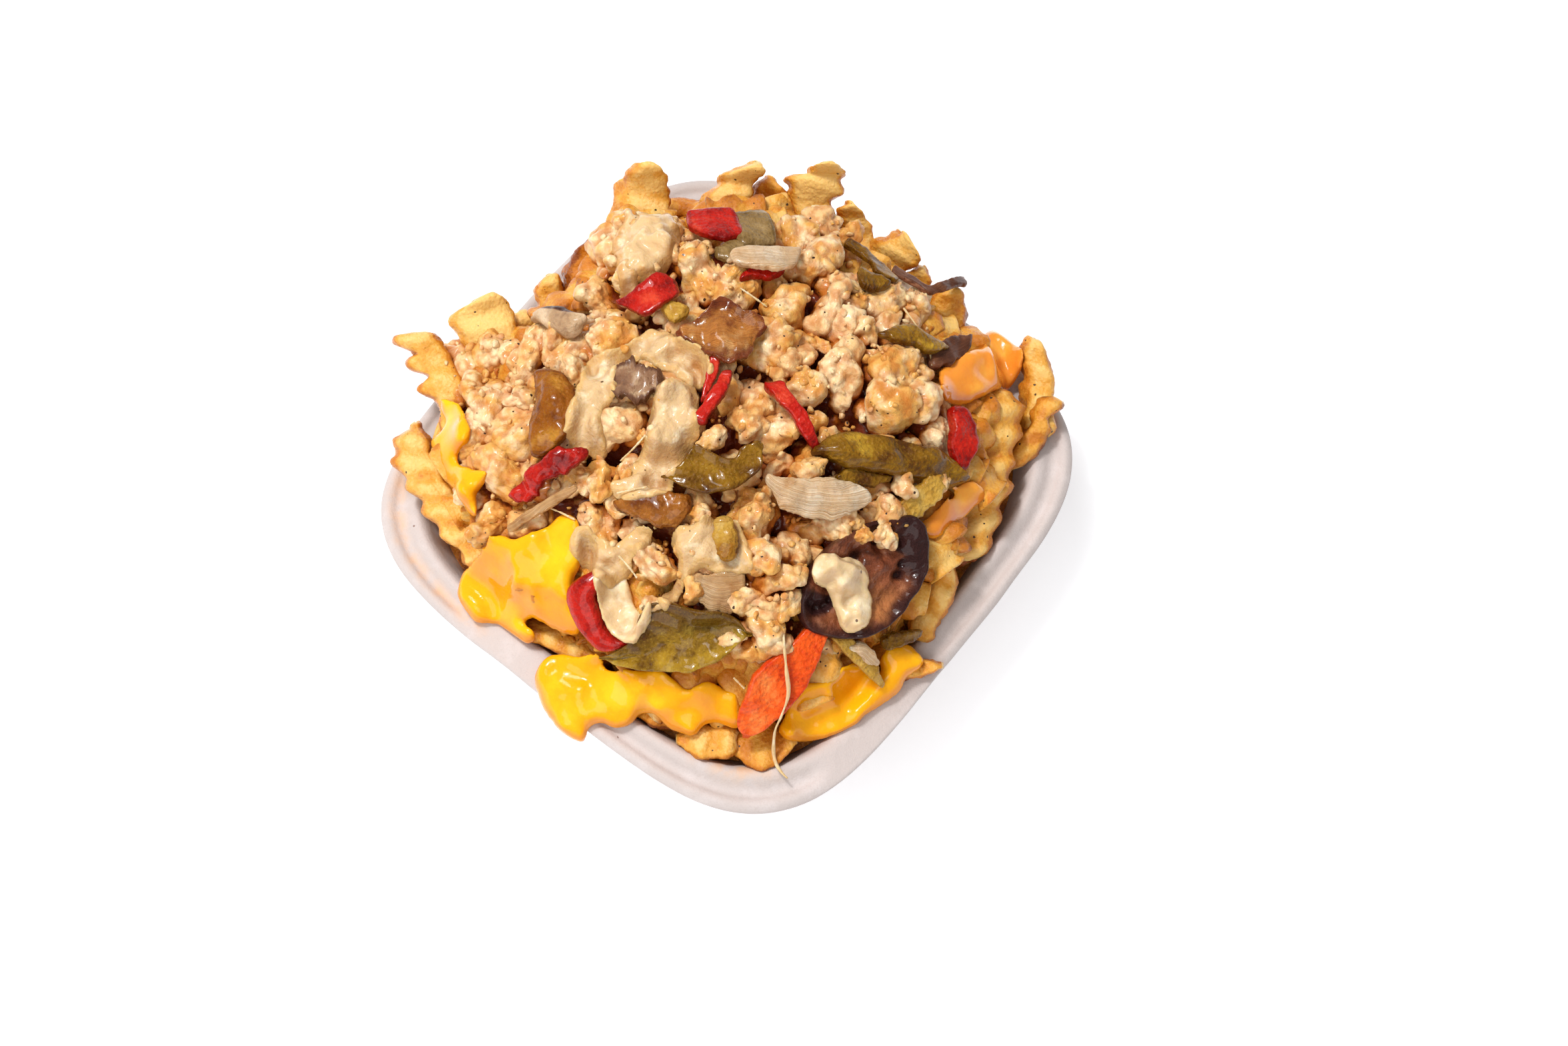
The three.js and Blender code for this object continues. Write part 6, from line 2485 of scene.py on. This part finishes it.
YELLOW = PepperFinish("YellowGreenPepper", (0.62, 0.42, 0.12), (0.48, 0.27, 0.04), (0.28, 0.11, 0.006))
BATCHES = (
    Batch(RED, Slot.RED, 301,
          PepperFinish("RedPepper", (0.64, 0.060, 0.022), (0.46, 0.010, 0.004), (0.16, 0.001, 0.001))),
    Batch(ORANGE, Slot.RED, 331,
          PepperFinish("OrangeRedPepper", (0.86, 0.26, 0.06), (0.80, 0.095, 0.008), (0.48, 0.02, 0.002))),
    Batch(GREEN, Slot.GREEN, 401,
          PepperFinish("GreenPepper", (0.46, 0.26, 0.022), (0.22, 0.10, 0.004), (0.070, 0.019, 0.001))),
    Batch(LEAF, Slot.GREEN, 411,
          PepperFinish("LeafPepper", (0.58, 0.40, 0.050), (0.34, 0.19, 0.012), (0.075, 0.024, 0.001), 0.85)),
    Batch(AMBER_GREEN, Slot.GREEN, 421,
          PepperFinish("AmberGreenPepper", (0.44, 0.19, 0.020), (0.25, 0.072, 0.003), (0.10, 0.018, 0.001))),
    Batch(BROWN_GREEN, Slot.GREEN, 431,
          PepperFinish("BrownedGreenPepper", (0.50, 0.22, 0.04), (0.30, 0.10, 0.012), (0.12, 0.026, 0.002))),
    Batch(YELLOW_GREEN, Slot.GREEN, 441, YELLOW),
    Batch(GREY_GREEN, Slot.GREEN, 451,
          PepperFinish("GreyGreenPepper", (0.38, 0.25, 0.11), (0.24, 0.145, 0.050), (0.11, 0.055, 0.010))),
    Batch(ONION, Slot.ONION, 501,
          OnionFinish("Onion", (0.84, 0.70, 0.52), (0.72, 0.52, 0.32), (0.50, 0.26, 0.10), 0.7, 0.35, 0.6)),
    Batch(CLEAR_ONION, Slot.ONION, 551,
          OnionFinish("ClearOnion", (0.70, 0.49, 0.28), (0.54, 0.32, 0.14), (0.32, 0.13, 0.035), 0.5)),
    Batch(BROWNED, Slot.BROWNED, 601,
          OnionFinish("BrownedOnion", (0.72, 0.42, 0.16), (0.50, 0.185, 0.032), (0.15, 0.020, 0.002),
                      0.25, 0.25, 0.9, 0.9)),
    Batch(CHARRED, Slot.BROWNED, 651,
          OnionFinish("CharredOnion", (0.30, 0.13, 0.065), (0.15, 0.048, 0.020), (0.05, 0.012, 0.004),
                      0.4, 0.5)),
    Batch(MUSHROOM, Slot.MUSHROOM, 701,
          MushroomFinish("GreyMushroom", (0.25, 0.13, 0.07), (0.50, 0.34, 0.20), (0.11, 0.045, 0.02),
                         (0.13, 0.06, 0.035))),
    Batch(CAP, Slot.MUSHROOM, 721,
          MushroomFinish("CapMushroom", (0.42, 0.26, 0.14), (0.66, 0.48, 0.30), (0.045, 0.014, 0.008),
                         (0.11, 0.04, 0.02), topside=True)),
)
LAST_BATCH = Batch(BIT, Slot.GREEN, 461, YELLOW)
YELLOW_SAUCE = CheeseFinish("CheeseSauce", (0.95, 0.51, 0.010), (0.93, 0.40, 0.004), (0.62, 0.13, 0.001),
                            0.2, 0.22, 0.3, coat=0.75, patch=20.0)
DEEP_SAUCE = CheeseFinish("AmberCheeseSauce", (0.93, 0.42, 0.055), (0.87, 0.29, 0.030), (0.52, 0.09, 0.004),
                          0.2, 0.22, 0.3, coat=1.0)
MELT = CheeseFinish("MeltedCheese", (0.79, 0.65, 0.43), (0.65, 0.44, 0.225), (0.47, 0.21, 0.06),
                    0.3, 0.6, 0.35, True, 0.9, (0.66, 0.40, 0.15), 5.0)
DRIP = CheeseFinish("DrippingCheese", (0.81, 0.67, 0.455), (0.70, 0.505, 0.275), (0.50, 0.26, 0.095),
                    0.25, 0.4, 0.4, True, 0.9, (0.70, 0.48, 0.23), 7.0)
TAN = CheeseFinish("TanMeltedCheese", (0.80, 0.64, 0.42), (0.66, 0.44, 0.22), (0.44, 0.19, 0.055),
                   0.32, 0.5, 0.35, True, 0.6, (0.54, 0.28, 0.09), 5.0)


def main() -> None:
    """Builds the tray and the food from the bottom of the heap up."""
    logging.basicConfig(level=logging.INFO, format="%(message)s")
    shelf, relief = Shelf(), Relief()
    toppings = Toppings(relief, shelf)
    for batch in (*BATCHES, LAST_BATCH):
        for flap in batch.table.values():
            relief.hang(flap_grid(flap, 1)[0])
    Studio().build()
    Tray().build(relief, shelf.take(FibreFinish()))
    Fries().build(relief, shelf.take(FryFinish()))
    Chicken().build(relief, shelf.take(ChickenFinish()))
    flow = Melts(2.4, 0.7, 0.7, 0.25, 1.8, 0.5, 8.0, 0.6)
    flow.build(SAUCE, relief, shelf.take(YELLOW_SAUCE), Slot.SAUCE, 101)
    flow.build(AMBER_SAUCE, relief, shelf.take(DEEP_SAUCE), Slot.SAUCE, 151)
    for batch in BATCHES:
        toppings.flaps(batch)
    toppings.mushroom_slice()
    blob = Melts(1.2, 0.5, 0.45, 0.3, 1.2, 0.6, 3.6, 1.2)
    film = Melts(1.15, 0.5, 0.42, 0.9, 1.0, 0.8, 3.4, 3.0, -0.6, 1.0, 0.75)
    blob.build(DRIPS, relief, shelf.take(DRIP), Slot.MELTED, 231)
    film.build(MELTED, relief, shelf.take(MELT), Slot.MELTED, 201)
    toppings.flaps(LAST_BATCH)
    film.build(TAN_MELTED, relief, shelf.take(TAN), Slot.MELTED, 251)
    strings = Skin("melted_cheese_strings")
    for k, points in enumerate(STRINGS):
        row = np.asarray(points)
        strings.add(string_grid(LENS.onto(row[:, :2], row[:, 2]), 0.85 if k == 0 else 0.55, k))
    strings.build(shelf.take(MELT), Slot.MELTED)
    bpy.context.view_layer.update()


if __name__ == "__main__":
    main()
